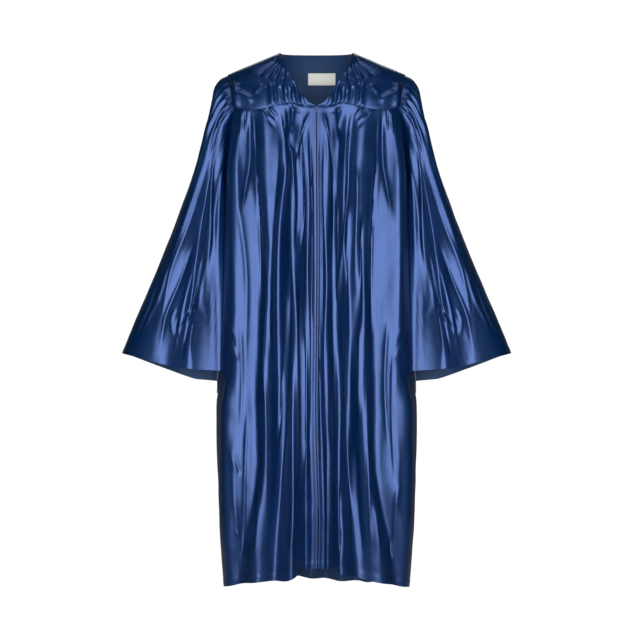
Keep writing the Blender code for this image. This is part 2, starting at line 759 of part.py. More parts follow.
def gathers(loop_count, yoke_steps):
    """Height of the cap's gathers: a ridge at each row of the yoke's edge."""
    rows = np.array(SLEEVE_ROWS)[:, None]
    rise = np.minimum(eased(rows / GATHER_FULL), 1.0 - eased((rows - GATHER_FULL) / (GATHER_END - GATHER_FULL)))
    step = np.arange(loop_count)
    round_cap = (step <= 2 * yoke_steps) | (step >= loop_count - 2 * yoke_steps)
    wave = np.where(step % 2 == 0, 1.0, -1.0) * round_cap
    return GATHER_HEIGHT * rise * wave


def make_sleeve(name, edges):
    """A bell sleeve from its armhole loop to its cuff."""
    side = SIDE[name]
    loop, seam_normal = armhole_loop(edges)
    loop = loop + (side * ARMHOLE_SHIFT, 0.0, 0.0)
    plain, share, full = sleeve_grid(loop, side)
    heights = sleeve_heights(share, full) + gathers(len(loop), len(YOKE_TURNS) - 1)
    points = plain + grid_normals(plain) * heights[:, :, None]
    normal = grid_normals(points)
    cap = np.clip(1.5 * np.cos(full), 0.0, 1.0)[:, None]
    blend = cap * seam_normal + (1.0 - cap) * normal[0]
    normal[0] = blend / np.linalg.norm(blend, axis=1, keepdims=True)
    wall(f"sleeve_{name}", points, points - CLOTH * normal, "satin", ring=True)


def block(name, size, centre, slot, round_off=TRIM_ROUND):
    """A box with its edges rounded off, in its own object."""
    mesh = bmesh.new()
    bmesh.ops.create_cube(mesh, size=1.0)
    bmesh.ops.scale(mesh, vec=size, verts=mesh.verts)
    if round_off:
        bmesh.ops.bevel(mesh, geom=mesh.edges[:], offset=round_off, segments=1, affect="EDGES")
    bmesh.ops.translate(mesh, vec=centre, verts=mesh.verts)
    data = bpy.data.meshes.new(name)
    mesh.to_mesh(data)
    mesh.free()
    return add_object(name, data, slot)


def cut(piece, other, kind):
    """Join another object to a piece, or cut it away, and keep it as a guide."""
    step = piece.modifiers.new(other.name, "BOOLEAN")
    step.operation = kind
    step.object = other
    step.solver = "EXACT"
    other.hide_render = True
    other.display_type = "WIRE"


def zip_frame():
    """Where the slider sits on the fronts, and how far the zip leans there."""
    drops = np.array([SLIDER_TOP_DROP, SLIDER_TOP_DROP + SLIDER_LENGTH])
    ahead = -ring_depth(np.zeros(2), drops, FRONT)
    lean = math.atan2(ahead[1] - ahead[0], SLIDER_LENGTH)
    middle = (0.0, float(ahead.mean()), float(-drops.mean()))
    return middle, lean


def make_slider_and_pull():
    """The slider round both front edges, and the pull tab in its bridge."""
    middle, lean = zip_frame()
    seat = bpy.data.objects.new("slider_seat", None)
    bpy.context.scene.collection.objects.link(seat)
    seat.location = middle
    seat.rotation_euler = (lean, 0.0, 0.0)

    front_face = -(SEAM_GAP + PLATE)
    inside = CLOTH + SEAM_GAP + TAPE_THICK + SEAM_GAP
    plate = (SLIDER_WIDTH, PLATE, SLIDER_LENGTH)
    slider = block("zip_slider", plate, (0.0, -SEAM_GAP - PLATE / 2, 0.0), "zip_metal")
    under = block("slider_under", plate, (0.0, inside + PLATE / 2, 0.0), "zip_metal")
    web_depth = inside + SEAM_GAP + 2 * EMBED
    web_size = (WEB_WIDTH, web_depth, SLIDER_LENGTH * 0.6)
    web = block("slider_web", web_size, (0.0, (inside - SEAM_GAP) / 2, 0.0), "zip_metal", 0.0)
    hole_long, hole_deep = BRIDGE_HOLE
    bridge_size = (BRIDGE_WIDTH, hole_deep + BRIDGE_BAR + EMBED, hole_long + 2 * BRIDGE_BAR)
    bridge_centre = front_face - (hole_deep + BRIDGE_BAR) / 2 + EMBED / 2
    bridge = block("slider_bridge", bridge_size, (0.0, bridge_centre, 0.0), "zip_metal", 0.0)
    hole = block(
        "bridge_hole",
        (BRIDGE_WIDTH * 2, hole_deep, hole_long),
        (0.0, front_face - hole_deep / 2, 0.0),
        "zip_metal",
        0.0,
    )
    for other, kind in ((under, "UNION"), (web, "UNION"), (bridge, "UNION"), (hole, "DIFFERENCE")):
        cut(slider, other, kind)

    eye_wide, eye_tall = TAB_EYE
    top = TAB_THICK / 2
    tab_size = (TAB_WIDTH, TAB_THICK, TAB_LENGTH)
    tab = block("zip_pull", tab_size, (0.0, 0.0, top - TAB_LENGTH / 2), "zip_metal", TRIM_ROUND / 2)
    eye = block(
        "pull_eye",
        (eye_wide, TAB_THICK * 2, eye_tall),
        (0.0, 0.0, -top - eye_tall / 2),
        "zip_metal",
        0.0,
    )
    slot_wide, slot_tall = TAB_SLOT
    slot = block(
        "pull_slot",
        (slot_wide, TAB_THICK * 2, slot_tall),
        (0.0, 0.0, -TAB_SLOT_DROP),
        "zip_metal",
        0.0,
    )
    cut(tab, eye, "DIFFERENCE")
    cut(tab, slot, "DIFFERENCE")

    pivot = bpy.data.objects.new("pull_pivot", None)
    bpy.context.scene.collection.objects.link(pivot)
    pivot.parent = seat
    pivot.location = (0.0, front_face - hole_deep / 2, 0.0)
    for piece in (slider, under, web, bridge, hole):
        piece.parent = seat
    for piece in (tab, eye, slot):
        piece.parent = pivot


def main():
    for old in list(bpy.data.objects):
        bpy.data.objects.remove(old, do_unlink=True)
    back_seam, back_edges = make_back()
    yoke_back_edges = make_back_yoke(back_seam)
    for name in SIDE:
        front_seam, *front_edge = make_front(name)
        yoke_edge = make_front_yoke(name, front_seam)
        make_sleeve(name, (yoke_edge, front_edge, back_edges[name], yoke_back_edges[name]))
    make_label()
    make_slider_and_pull()


if __name__ == "__main__":
    main()
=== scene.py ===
"""Looks of the graduation gown: satin with its folds, sewing, zip, label and studio.

Metres, +Z up, the front faces -Y. The origin lies between the shoulders at the height of
the neck points. Heights are given as drops, measured down from there. Left and right are
as seen from the front.
"""

import math

import bpy
import numpy as np
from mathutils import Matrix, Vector


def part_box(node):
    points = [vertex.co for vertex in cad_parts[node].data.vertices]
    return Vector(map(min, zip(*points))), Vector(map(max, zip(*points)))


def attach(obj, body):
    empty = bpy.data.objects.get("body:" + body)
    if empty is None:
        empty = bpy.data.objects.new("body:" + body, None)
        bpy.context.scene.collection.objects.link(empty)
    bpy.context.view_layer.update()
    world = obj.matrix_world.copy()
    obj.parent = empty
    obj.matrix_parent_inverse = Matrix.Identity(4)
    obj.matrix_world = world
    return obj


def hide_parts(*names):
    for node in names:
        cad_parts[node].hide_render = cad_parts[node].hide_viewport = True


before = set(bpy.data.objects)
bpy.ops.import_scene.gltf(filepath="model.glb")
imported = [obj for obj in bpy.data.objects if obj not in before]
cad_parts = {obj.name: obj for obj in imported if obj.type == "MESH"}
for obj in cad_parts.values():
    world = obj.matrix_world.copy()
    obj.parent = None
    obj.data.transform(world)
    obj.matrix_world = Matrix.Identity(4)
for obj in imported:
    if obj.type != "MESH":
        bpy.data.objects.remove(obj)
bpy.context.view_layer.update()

bl_info = {
    "name": "Graduation gown",
    "version": (1, 0, 0),
    "blender": (4, 5, 0),
    "location": "View3D > Sidebar > Gown",
    "description": "Satin, folds, stitching, zip and label of a graduation gown, and its studio",
    "category": "Object",
}

BODY = "gown"
PULL_BODY = "pull_tab"
SIDE = {"left": -1.0, "right": 1.0}
FRONT = -1.0
BACK = 1.0

# Construction sizes, the same as those of the solids
SOLID_CLOTH = 0.0012
SEAM_GAP = -0.0008
NECK_HALF = 0.078
NECK_BASE_RISE = 0.034
BACK_NECK_RISE = 0.003
SHOULDER_HALF = 0.191
SHOULDER_DROP = 0.047
YOKE_CORNER_HALF = 0.174
BACK_CORNER_HALF = 0.176
UNDERARM_DROP = 0.290

# The plain body, an oval ring at each drop: half width, front depth, back depth, squareness
BODY_RINGS = (
    (0.080, 0.1920, 0.0935, 0.0880, 3.2),
    (0.125, 0.1920, 0.0940, 0.0885, 3.2),
    (0.200, 0.1950, 0.0980, 0.0950, 3.0),
    (0.290, 0.1975, 0.1030, 0.1000, 2.8),
    (0.402, 0.2020, 0.1070, 0.1040, 2.6),
    (0.574, 0.2070, 0.1100, 0.1080, 2.5),
    (0.700, 0.2090, 0.1110, 0.1110, 2.45),
    (0.790, 0.2120, 0.1120, 0.1130, 2.4),
    (0.940, 0.2060, 0.1140, 0.1160, 2.4),
    (1.160, 0.1950, 0.1160, 0.1200, 2.4),
)

# Seams and hems as across, drop
FRONT_SEAM = (
    (0.000, 0.1241),
    (0.020, 0.1256),
    (0.052, 0.1198),
    (0.079, 0.1222),
    (0.115, 0.1308),
    (0.174, 0.1295),
)
BACK_SEAM = ((0.000, 0.1500), (0.090, 0.1480), (0.176, 0.1380))
FRONT_HEM = {
    "left": (
        (0.000, 1.0970),
        (0.030, 1.1000),
        (0.049, 1.1115),
        (0.120, 1.1210),
        (0.170, 1.1310),
        (0.196, 1.1430),
    ),
    "right": (
        (0.000, 1.0950),
        (0.045, 1.1000),
        (0.072, 1.1065),
        (0.120, 1.1200),
        (0.170, 1.1330),
        (0.196, 1.1430),
    ),
}
BACK_HEM = (
    (-0.196, 1.1430),
    (-0.120, 1.1430),
    (-0.040, 1.1440),
    (0.050, 1.1520),
    (0.110, 1.1530),
    (0.196, 1.1430),
)

# The V of the neck as profile angle in degrees from the shoulder line, across
NECK_EDGE = (
    (0.0, 0.0780),
    (23.0, 0.0785),
    (40.0, 0.0715),
    (54.0, 0.0637),
    (71.0, 0.0449),
    (80.0, 0.0308),
    (86.3, 0.0186),
    (88.6, 0.0100),
    (90.0, 0.0015),
)
GATHER_TURNS = (0.0, 20.0, 38.0, 54.0, 67.0, 78.0, 85.0, 90.0)

# The armhole below the yoke: share of the way down to the underarm, share of its opening
ARMHOLE = ((0.00, 1.00), (0.22, 0.72), (0.50, 0.56), (0.75, 0.40), (0.90, 0.24), (1.00, 0.00))

# The zip
ZIP_GAP = 0.0030
TAPE_REACH = 0.0120
TAPE_THICK = 0.0006
TAPE_CLEAR = 0.0003
ZIP_END_SHARE = 0.87
ZIP_LINE = ((0.12, 0.000), (0.50, 0.001), (0.80, -0.001), (1.00, 0.004), (1.15, 0.001))

# Fold lines of the fronts, from the zip outwards. Each runs down the panel through the
# drops below, with its distance from the middle and its height over the plain body.
FOLD_DROPS = (0.125, 0.155, 0.241, 0.407, 0.574, 0.741, 0.907, 1.074, 1.150)
ZIP_EDGE_OUT = (0.000, 0.000, -0.001, -0.004, -0.008, -0.013, -0.021, -0.034, -0.040)
FRONT_FOLDS = {
    "left": {
        "tape_ridge": (
            (TAPE_REACH,) * 9,
            (0.000, 0.000, 0.000, -0.003, -0.006, -0.011, -0.019, -0.032, -0.038),
        ),
        "inner_hollow": (
            (0.030, 0.030, 0.028, 0.022, 0.023, 0.023, 0.023, 0.023, 0.023),
            (0.000, -0.002, -0.006, -0.009, -0.013, -0.018, -0.026, -0.038, -0.043),
        ),
        "inner_ridge": (
            (0.056, 0.056, 0.052, 0.050, 0.046, 0.046, 0.048, 0.051, 0.052),
            (0.000, 0.003, 0.005, 0.007, 0.009, 0.011, 0.013, 0.014, 0.014),
        ),
        "inner_pleat": (
            (0.070, 0.069, 0.067, 0.076, 0.078, 0.074, 0.076, 0.088, 0.092),
            (0.000, -0.006, -0.008, -0.012, -0.014, -0.016, -0.017, -0.014, -0.013),
        ),
        "middle_ridge": (
            (0.110, 0.108, 0.106, 0.099, 0.101, 0.105, 0.107, 0.120, 0.122),
            (0.000, 0.003, 0.004, 0.006, 0.008, 0.009, 0.010, 0.011, 0.011),
        ),
        "outer_pleat": (
            (0.135, 0.137, 0.139, 0.122, 0.122, 0.129, 0.128, 0.158, 0.164),
            (0.000, -0.005, -0.007, -0.007, -0.006, -0.007, -0.007, -0.004, -0.003),
        ),
        "outer_ridge": (
            (0.157, 0.160, 0.168, 0.164, 0.162, 0.163, 0.166, 0.180, 0.183),
            (0.000, 0.003, 0.004, 0.006, 0.008, 0.008, 0.008, 0.006, 0.005),
        ),
    },
    "right": {
        "tape_ridge": (
            (TAPE_REACH,) * 9,
            (0.000, 0.000, 0.000, -0.003, -0.006, -0.010, -0.018, -0.031, -0.037),
        ),
        "inner_hollow": (
            (0.028, 0.027, 0.024, 0.023, 0.023, 0.023, 0.023, 0.025, 0.025),
            (0.000, -0.001, -0.004, -0.008, -0.011, -0.016, -0.024, -0.036, -0.041),
        ),
        "inner_ridge": (
            (0.045, 0.046, 0.044, 0.040, 0.041, 0.047, 0.046, 0.050, 0.052),
            (0.000, 0.003, 0.005, 0.006, 0.008, 0.011, 0.012, 0.010, 0.009),
        ),
        "inner_pleat": (
            (0.070, 0.067, 0.063, 0.061, 0.070, 0.070, 0.072, 0.088, 0.093),
            (0.000, -0.006, -0.008, -0.011, -0.015, -0.017, -0.018, -0.013, -0.010),
        ),
        "middle_ridge": (
            (0.098, 0.096, 0.092, 0.093, 0.097, 0.097, 0.107, 0.130, 0.136),
            (0.000, 0.003, 0.004, 0.006, 0.008, 0.008, 0.010, 0.011, 0.011),
        ),
        "outer_pleat": (
            (0.137, 0.137, 0.136, 0.120, 0.120, 0.125, 0.128, 0.160, 0.167),
            (0.000, -0.005, -0.007, -0.008, -0.008, -0.008, -0.008, -0.004, -0.003),
        ),
        "outer_ridge": (
            (0.158, 0.162, 0.167, 0.163, 0.161, 0.159, 0.160, 0.181, 0.184),
            (0.000, 0.003, 0.004, 0.007, 0.008, 0.008, 0.008, 0.006, 0.005),
        ),
    },
}

# Fold lines of the back from the left side to the right: distance across, height out
BACK_DROPS = (0.150, 0.185, 0.407, 0.741, 1.150)
BACK_FOLDS = (
    ((-0.160, -0.162, -0.164, -0.160, -0.172), (0.000, 0.003, 0.006, 0.008, 0.006)),
    ((-0.134, -0.134, -0.126, -0.130, -0.142), (0.000, -0.005, -0.008, -0.009, -0.008)),
    ((-0.106, -0.105, -0.100, -0.104, -0.112), (0.000, 0.003, 0.007, 0.009, 0.011)),
    ((-0.080, -0.079, -0.073, -0.074, -0.082), (0.000, -0.006, -0.010, -0.012, -0.014)),
    ((-0.053, -0.052, -0.044, -0.042, -0.046), (0.000, 0.003, 0.006, 0.010, 0.013)),
    ((-0.024, -0.023, -0.014, -0.010, -0.012), (0.000, -0.005, -0.009, -0.013, -0.016)),
    ((0.010, 0.012, 0.020, 0.024, 0.020), (0.000, 0.003, 0.008, 0.011, 0.014)),
    ((0.042, 0.044, 0.050, 0.053, 0.055), (0.000, -0.005, -0.009, -0.011, -0.013)),
    ((0.072, 0.073, 0.079, 0.079, 0.088), (0.000, 0.003, 0.006, 0.008, 0.010)),
    ((0.101, 0.101, 0.107, 0.105, 0.118), (0.000, -0.006, -0.009, -0.010, -0.011)),
    ((0.128, 0.129, 0.136, 0.133, 0.146), (0.000, 0.003, 0.007, 0.009, 0.009)),
    ((0.150, 0.151, 0.158, 0.157, 0.170), (0.000, -0.004, -0.004, -0.004, -0.003)),
)

# Columns of the cloth's mesh between one fold line and the next, and its rows
FRONT_COLUMNS = (9, 17, 23, 23, 23, 18, 23, 28)
FRONT_ROWS = 230
BACK_COLUMNS = (26, 15, 15, 15, 15, 15, 15, 15, 15, 15, 15, 15, 26)
BACK_ROWS = 160
YOKE_COLUMNS = 84
YOKE_ROWS = 64
BACK_YOKE_COLUMNS = (44, 62, 44)
SLEEVE_COLUMNS = 320
SLEEVE_ROWS = 120

# The sleeve's overarm line, half width by drop, from the shoulder to the cuff's tip
OVERARM = (
    (0.047, 0.1910),
    (0.058, 0.2010),
    (0.079, 0.2140),
    (0.101, 0.2205),
    (0.122, 0.2270),
    (0.166, 0.2380),
    (0.209, 0.2480),
    (0.252, 0.2610),
    (0.338, 0.2920),
    (0.424, 0.3250),
    (0.510, 0.3610),
    (0.596, 0.3985),
    (0.645, 0.4180),
)
CUFF_INNER_DROP = 0.732
BODY_TO_SLEEVE = 0.0038
ARMHOLE_SHIFT = -0.0012
SLEEVE_DEPTH = ((0.0, 0.058), (0.3, 0.066), (0.6, 0.070), (1.0, 0.064))
CLEAR_SHARE = 0.085
WRAP_SHARES = (0.74, 0.86)
WRAP_FULL = 0.12
SLEEVE_NEAR = (0.184, 0.198)
SLEEVE_DIP = (0.0045, 0.0300)
ARMHOLE_BLEND_END = 0.35
HEM_SHAPE_START = 0.45

# The cuff's edge as share of the way from its tip to the body, front drop, back drop
CUFF_EDGE = (
    (0.00, 0.6450, 0.6450),
    (0.35, 0.6605, 0.6745),
    (0.55, 0.6715, 0.6890),
    (0.85, 0.6825, 0.7095),
    (0.93, 0.6860, 0.7150),
    (0.97, 0.7200, 0.7230),
    (1.00, 0.7320, 0.7320),
)

# Fold lines of a sleeve by share of its length: share of the way in from the overarm
# line, and height over the plain tube
SLEEVE_SHARES = (0.00, 0.10, 0.30, 0.50, 0.70, 0.85, 1.00)
SLEEVE_FOLDS_FRONT = (
    ((0.14, 0.14, 0.15, 0.18, 0.20, 0.28, 0.42), (0.0, 0.003, 0.006, 0.007, 0.008, 0.008, 0.007)),
    ((0.34, 0.34, 0.38, 0.50, 0.61, 0.66, 0.70), (0.0, -0.002, -0.006, -0.009, -0.011, -0.012, -0.012)),
    ((0.64, 0.64, 0.70, 0.79, 0.85, 0.88, 0.90), (0.0, 0.001, 0.003, 0.004, 0.004, 0.004, 0.004)),
)
SLEEVE_FOLDS_BACK = (
    ((0.18, 0.18, 0.20, 0.24, 0.27, 0.31, 0.34), (0.0, 0.002, 0.005, 0.007, 0.008, 0.008, 0.008)),
    ((0.42, 0.42, 0.46, 0.52, 0.57, 0.60, 0.62), (0.0, -0.002, -0.006, -0.009, -0.011, -0.011, -0.010)),
    ((0.70, 0.70, 0.74, 0.78, 0.82, 0.84, 0.85), (0.0, 0.001, 0.003, 0.004, 0.005, 0.005, 0.005)),
)
GATHER_HEIGHT = 0.0034
GATHER_FULL = 0.05
GATHER_END = 0.24

# Creases laid over the folds. Each row is width, height, then the spots as across, drop
# that it passes, seen from the front. Across is measured outwards on left and right pieces.
FRONT_CREASES = {
    "left": (
        # the outer plateau and its long creases
        (0.0150, 0.0110, (0.176, 0.150), (0.173, 0.320), (0.170, 0.560), (0.172, 0.780)),
        (0.0200, 0.0150, (0.182, 0.660), (0.184, 0.800), (0.184, 0.980), (0.180, 1.250)),
        (0.0060, 0.0030, (0.166, 0.150), (0.162, 0.320), (0.146, 0.490), (0.151, 0.740)),
        (0.0050, -0.0060, (0.139, 0.128), (0.141, 0.240), (0.150, 0.300), (0.161, 0.370)),
        (0.0030, 0.0026, (0.135, 0.128), (0.128, 0.220), (0.108, 0.410), (0.100, 0.540)),
        (0.0028, -0.0040, (0.131, 0.140), (0.125, 0.260), (0.119, 0.390), (0.113, 0.620)),
        (0.0028, 0.0020, (0.106, 0.520), (0.110, 0.660), (0.105, 0.790), (0.104, 1.020)),
        (0.0025, 0.0016, (0.096, 0.500), (0.097, 0.580), (0.095, 0.680)),
        # the pleat that starts at the seam, with a dark wedge on each side
        (0.0028, 0.0040, (0.0735, 0.128), (0.0662, 0.171), (0.0549, 0.217), (0.0505, 0.240), (0.0390, 0.428)),
        (0.0075, -0.0070, (0.0500, 0.122), (0.0500, 0.150), (0.0540, 0.185)),
        (0.0055, -0.0060, (0.0585, 0.215), (0.0680, 0.290), (0.0780, 0.400), (0.0800, 0.560), (0.0770, 0.960)),
        (0.0070, 0.0040, (0.0760, 0.160), (0.0850, 0.300), (0.0940, 0.440), (0.0980, 0.580)),
        (0.0040, 0.0034, (0.0120, 0.135), (0.0260, 0.170), (0.0390, 0.212), (0.0440, 0.260)),
        # narrow folds beside the zip
        (0.0034, 0.0044, (0.0324, 0.178), (0.0250, 0.324), (0.0370, 0.470)),
        (0.0036, -0.0052, (0.0440, 0.200), (0.0365, 0.324), (0.0440, 0.440)),
        (0.0030, 0.0040, (0.0136, 0.178), (0.0094, 0.324), (0.0094, 0.491), (0.0120, 0.600)),
        (0.0036, -0.0056, (0.0190, 0.160), (0.0177, 0.324), (0.0198, 0.491), (0.0157, 0.658), (0.0120, 0.900)),
        (0.0036, 0.0046, (0.0450, 0.460), (0.0407, 0.658), (0.0386, 0.825), (0.0440, 1.000)),
        (0.0034, -0.0058, (0.0340, 0.470), (0.0324, 0.620), (0.0300, 0.820), (0.0365, 0.990), (0.0407, 1.080)),
        (0.0036, 0.0040, (0.0260, 0.560), (0.0250, 0.700), (0.0240, 0.825), (0.0290, 0.960)),
        (0.0042, 0.0044, (0.0616, 0.460), (0.0640, 0.600), (0.0740, 0.760), (0.0820, 0.860)),
        (0.0036, -0.0044, (0.0530, 0.430), (0.0560, 0.560), (0.0620, 0.700), (0.0680, 0.825), (0.0860, 1.060)),
        (0.0036, 0.0036, (0.0490, 0.620), (0.0490, 0.825), (0.0490, 0.990), (0.0550, 1.080)),
        # the lower part
        (0.0060, 0.0034, (0.118, 0.880), (0.122, 0.990), (0.132, 1.110)),
        (0.0040, -0.0030, (0.145, 0.760), (0.150, 0.900), (0.154, 1.080)),
        (0.0045, 0.0030, (0.170, 0.800), (0.168, 0.950), (0.158, 1.110)),
        (0.0050, -0.0026, (0.160, 0.560), (0.156, 0.700), (0.162, 0.860)),
        # short tucks under the seam
        (0.0026, 0.0034, (0.120, 0.129), (0.104, 0.147), (0.088, 0.160)),
        (0.0028, -0.0038, (0.114, 0.129), (0.100, 0.152), (0.084, 0.174)),
        (0.0024, 0.0030, (0.100, 0.127), (0.090, 0.138), (0.080, 0.148)),
        (0.0024, -0.0030, (0.108, 0.127), (0.094, 0.142), (0.082, 0.155)),
        (0.0024, 0.0022, (0.055, 0.122), (0.040, 0.129), (0.024, 0.133)),
        (0.0020, -0.0020, (0.062, 0.124), (0.042, 0.134), (0.026, 0.137)),
        (0.0024, 0.0026, (0.160, 0.130), (0.158, 0.150), (0.160, 0.190)),
        (0.0022, -0.0026, (0.150, 0.130), (0.149, 0.150), (0.150, 0.180)),
        # small wrinkles of the side
        (0.0022, 0.0024, (0.182, 0.570), (0.174, 0.590), (0.170, 0.615)),
        (0.0022, -0.0026, (0.180, 0.590), (0.172, 0.612), (0.166, 0.640)),
        (0.0024, 0.0022, (0.176, 0.610), (0.168, 0.640), (0.160, 0.660)),
        (0.0024, 0.0022, (0.176, 0.840), (0.168, 0.870), (0.164, 0.905)),
        (0.0024, -0.0022, (0.170, 0.850), (0.163, 0.880), (0.157, 0.900)),
        (0.0026, 0.0024, (0.168, 1.010), (0.160, 1.035), (0.158, 1.065)),
        (0.0024, 0.0020, (0.150, 1.020), (0.146, 1.050), (0.150, 1.085)),
    ),
    "right": (
        # the outer plateau and its long creases
        (0.0150, 0.0110, (0.176, 0.150), (0.174, 0.320), (0.171, 0.560), (0.173, 0.780)),
        (0.0200, 0.0150, (0.184, 0.660), (0.185, 0.800), (0.185, 0.980), (0.181, 1.250)),
        (0.0060, 0.0030, (0.166, 0.150), (0.168, 0.320), (0.168, 0.490), (0.164, 0.740)),
        (0.0050, -0.0060, (0.138, 0.128), (0.140, 0.240), (0.149, 0.300), (0.160, 0.370)),
        (0.0030, 0.0026, (0.134, 0.128), (0.126, 0.220), (0.111, 0.410), (0.105, 0.590)),
        (0.0030, -0.0042, (0.130, 0.140), (0.124, 0.260), (0.116, 0.430), (0.114, 0.680)),
        (0.0090, -0.0080, (0.098, 0.340), (0.095, 0.420), (0.086, 0.540), (0.074, 0.680)),
        (0.0080, 0.0060, (0.067, 0.300), (0.066, 0.400), (0.061, 0.500), (0.060, 0.640)),
        # the pleat that starts at the seam, with a dark wedge on each side
        (0.0028, 0.0040, (0.0756, 0.130), (0.0668, 0.194), (0.0597, 0.268), (0.0560, 0.360), (0.0500, 0.640)),
        (0.0085, -0.0075, (0.0470, 0.124), (0.0480, 0.155), (0.0530, 0.205)),
        (0.0036, -0.0048, (0.0690, 0.200), (0.0640, 0.324), (0.0500, 0.470), (0.0450, 0.540)),
        (0.0045, 0.0036, (0.0110, 0.135), (0.0230, 0.175), (0.0360, 0.250), (0.0400, 0.330)),
        (0.0040, 0.0034, (0.0846, 0.240), (0.0850, 0.340), (0.0780, 0.520)),
        # narrow folds beside the zip
        (0.0030, 0.0040, (0.0050, 0.178), (0.0060, 0.324), (0.0070, 0.658), (0.0120, 0.920)),
        (0.0038, -0.0056, (0.0140, 0.170), (0.0177, 0.324), (0.0219, 0.491), (0.0177, 0.658), (0.0180, 0.840)),
        (0.0032, 0.0042, (0.0300, 0.200), (0.0370, 0.340), (0.0345, 0.491), (0.0380, 0.700), (0.0330, 0.990)),
        (0.0028, -0.0036, (0.0445, 0.300), (0.0449, 0.440), (0.0449, 0.560)),
        (0.0036, 0.0040, (0.0520, 0.560), (0.0574, 0.825), (0.0658, 0.990), (0.0700, 1.080)),
        (0.0036, -0.0050, (0.0595, 0.600), (0.0620, 0.740), (0.0658, 0.860), (0.0740, 1.000)),
        (0.0034, -0.0048, (0.0270, 0.780), (0.0280, 0.900), (0.0300, 1.000), (0.0365, 1.080)),
        (0.0045, 0.0040, (0.0900, 0.560), (0.0890, 0.680), (0.0880, 0.800)),
        (0.0030, 0.0026, (0.1060, 0.640), (0.1050, 0.780), (0.1100, 0.940), (0.1140, 1.080)),
        (0.0040, -0.0050, (0.0510, 0.900), (0.0510, 0.990), (0.0480, 1.080)),
        # the lower part
        (0.0044, 0.0034, (0.150, 0.560), (0.143, 0.700), (0.150, 0.860)),
        (0.0040, -0.0030, (0.160, 0.620), (0.158, 0.780), (0.164, 0.930)),
        (0.0060, 0.0034, (0.120, 0.880), (0.126, 0.990), (0.136, 1.110)),
        (0.0060, -0.0034, (0.080, 0.820), (0.086, 0.960), (0.100, 1.090)),
        (0.0045, 0.0028, (0.168, 0.800), (0.166, 0.950), (0.156, 1.110)),
        # short tucks under the seam
        (0.0026, 0.0034, (0.120, 0.129), (0.104, 0.147), (0.088, 0.160)),
        (0.0028, -0.0038, (0.114, 0.129), (0.100, 0.152), (0.084, 0.174)),
        (0.0024, 0.0030, (0.100, 0.127), (0.090, 0.138), (0.080, 0.148)),
        (0.0024, -0.0030, (0.108, 0.127), (0.094, 0.142), (0.082, 0.155)),
        (0.0024, 0.0022, (0.055, 0.122), (0.040, 0.129), (0.024, 0.133)),
        (0.0020, -0.0020, (0.062, 0.124), (0.042, 0.134), (0.026, 0.137)),
        (0.0024, 0.0026, (0.160, 0.130), (0.158, 0.150), (0.160, 0.190)),
        (0.0022, -0.0026, (0.150, 0.130), (0.149, 0.150), (0.150, 0.180)),
        # small wrinkles of the side
        (0.0022, 0.0024, (0.182, 0.570), (0.174, 0.590), (0.170, 0.615)),
        (0.0022, -0.0026, (0.180, 0.590), (0.172, 0.612), (0.166, 0.640)),
        (0.0024, 0.0022, (0.176, 0.610), (0.168, 0.640), (0.160, 0.660)),
        (0.0026, 0.0024, (0.172, 0.910), (0.165, 0.940), (0.163, 0.980)),
        (0.0024, -0.0020, (0.160, 1.020), (0.154, 1.050), (0.156, 1.085)),
    ),
}
BACK_CREASES = (
    (0.0060, 0.0028, (-0.150, 0.170), (-0.146, 0.330), (-0.150, 0.500)),
    (0.0040, -0.0030, (-0.118, 0.160), (-0.112, 0.320), (-0.118, 0.520), (-0.114, 0.760)),
    (0.0036, 0.0028, (-0.092, 0.155), (-0.086, 0.330), (-0.090, 0.600), (-0.098, 0.900)),
    (0.0050, 0.0026, (-0.066, 0.300), (-0.060, 0.480), (-0.064, 0.700)),
    (0.0036, -0.0034, (-0.036, 0.160), (-0.030, 0.400), (-0.028, 0.640), (-0.034, 0.900)),
    (0.0040, 0.0028, (-0.004, 0.170), (0.004, 0.380), (0.002, 0.600), (0.004, 0.840)),
    (0.0050, 0.0028, (0.030, 0.240), (0.036, 0.460), (0.038, 0.760)),
    (0.0036, -0.0030, (0.062, 0.170), (0.066, 0.380), (0.068, 0.640), (0.074, 0.920)),
    (0.0040, 0.0028, (0.092, 0.300), (0.094, 0.520), (0.092, 0.780)),
    (0.0040, -0.0028, (0.118, 0.170), (0.122, 0.340), (0.120, 0.560)),
    (0.0050, 0.0028, (0.145, 0.170), (0.148, 0.380), (0.146, 0.640)),
    (0.0060, 0.0030, (-0.130, 0.700), (-0.126, 0.880), (-0.134, 1.100)),
    (0.0050, -0.0030, (-0.060, 0.760), (-0.062, 0.940), (-0.066, 1.110)),
    (0.0060, 0.0030, (-0.024, 0.800), (-0.028, 0.960), (-0.026, 1.120)),
    (0.0050, 0.0030, (0.038, 0.860), (0.034, 1.000), (0.040, 1.130)),
    (0.0055, -0.0030, (0.096, 0.800), (0.100, 0.960), (0.102, 1.120)),
    (0.0060, 0.0028, (0.130, 0.780), (0.126, 0.940), (0.130, 1.110)),
    (0.0026, 0.0020, (-0.170, 0.560), (-0.160, 0.590), (-0.150, 0.610)),
    (0.0026, -0.0020, (-0.166, 0.585), (-0.156, 0.612), (-0.146, 0.634)),
    (0.0026, 0.0020, (0.172, 0.580), (0.162, 0.606), (0.152, 0.626)),
    (0.0026, -0.0018, (0.168, 0.604), (0.156, 0.630), (0.148, 0.652)),
    (0.0030, 0.0020, (-0.080, 0.560), (-0.062, 0.572), (-0.046, 0.570)),
    (0.0030, 0.0018, (0.052, 0.520), (0.068, 0.534), (0.086, 0.530)),
)

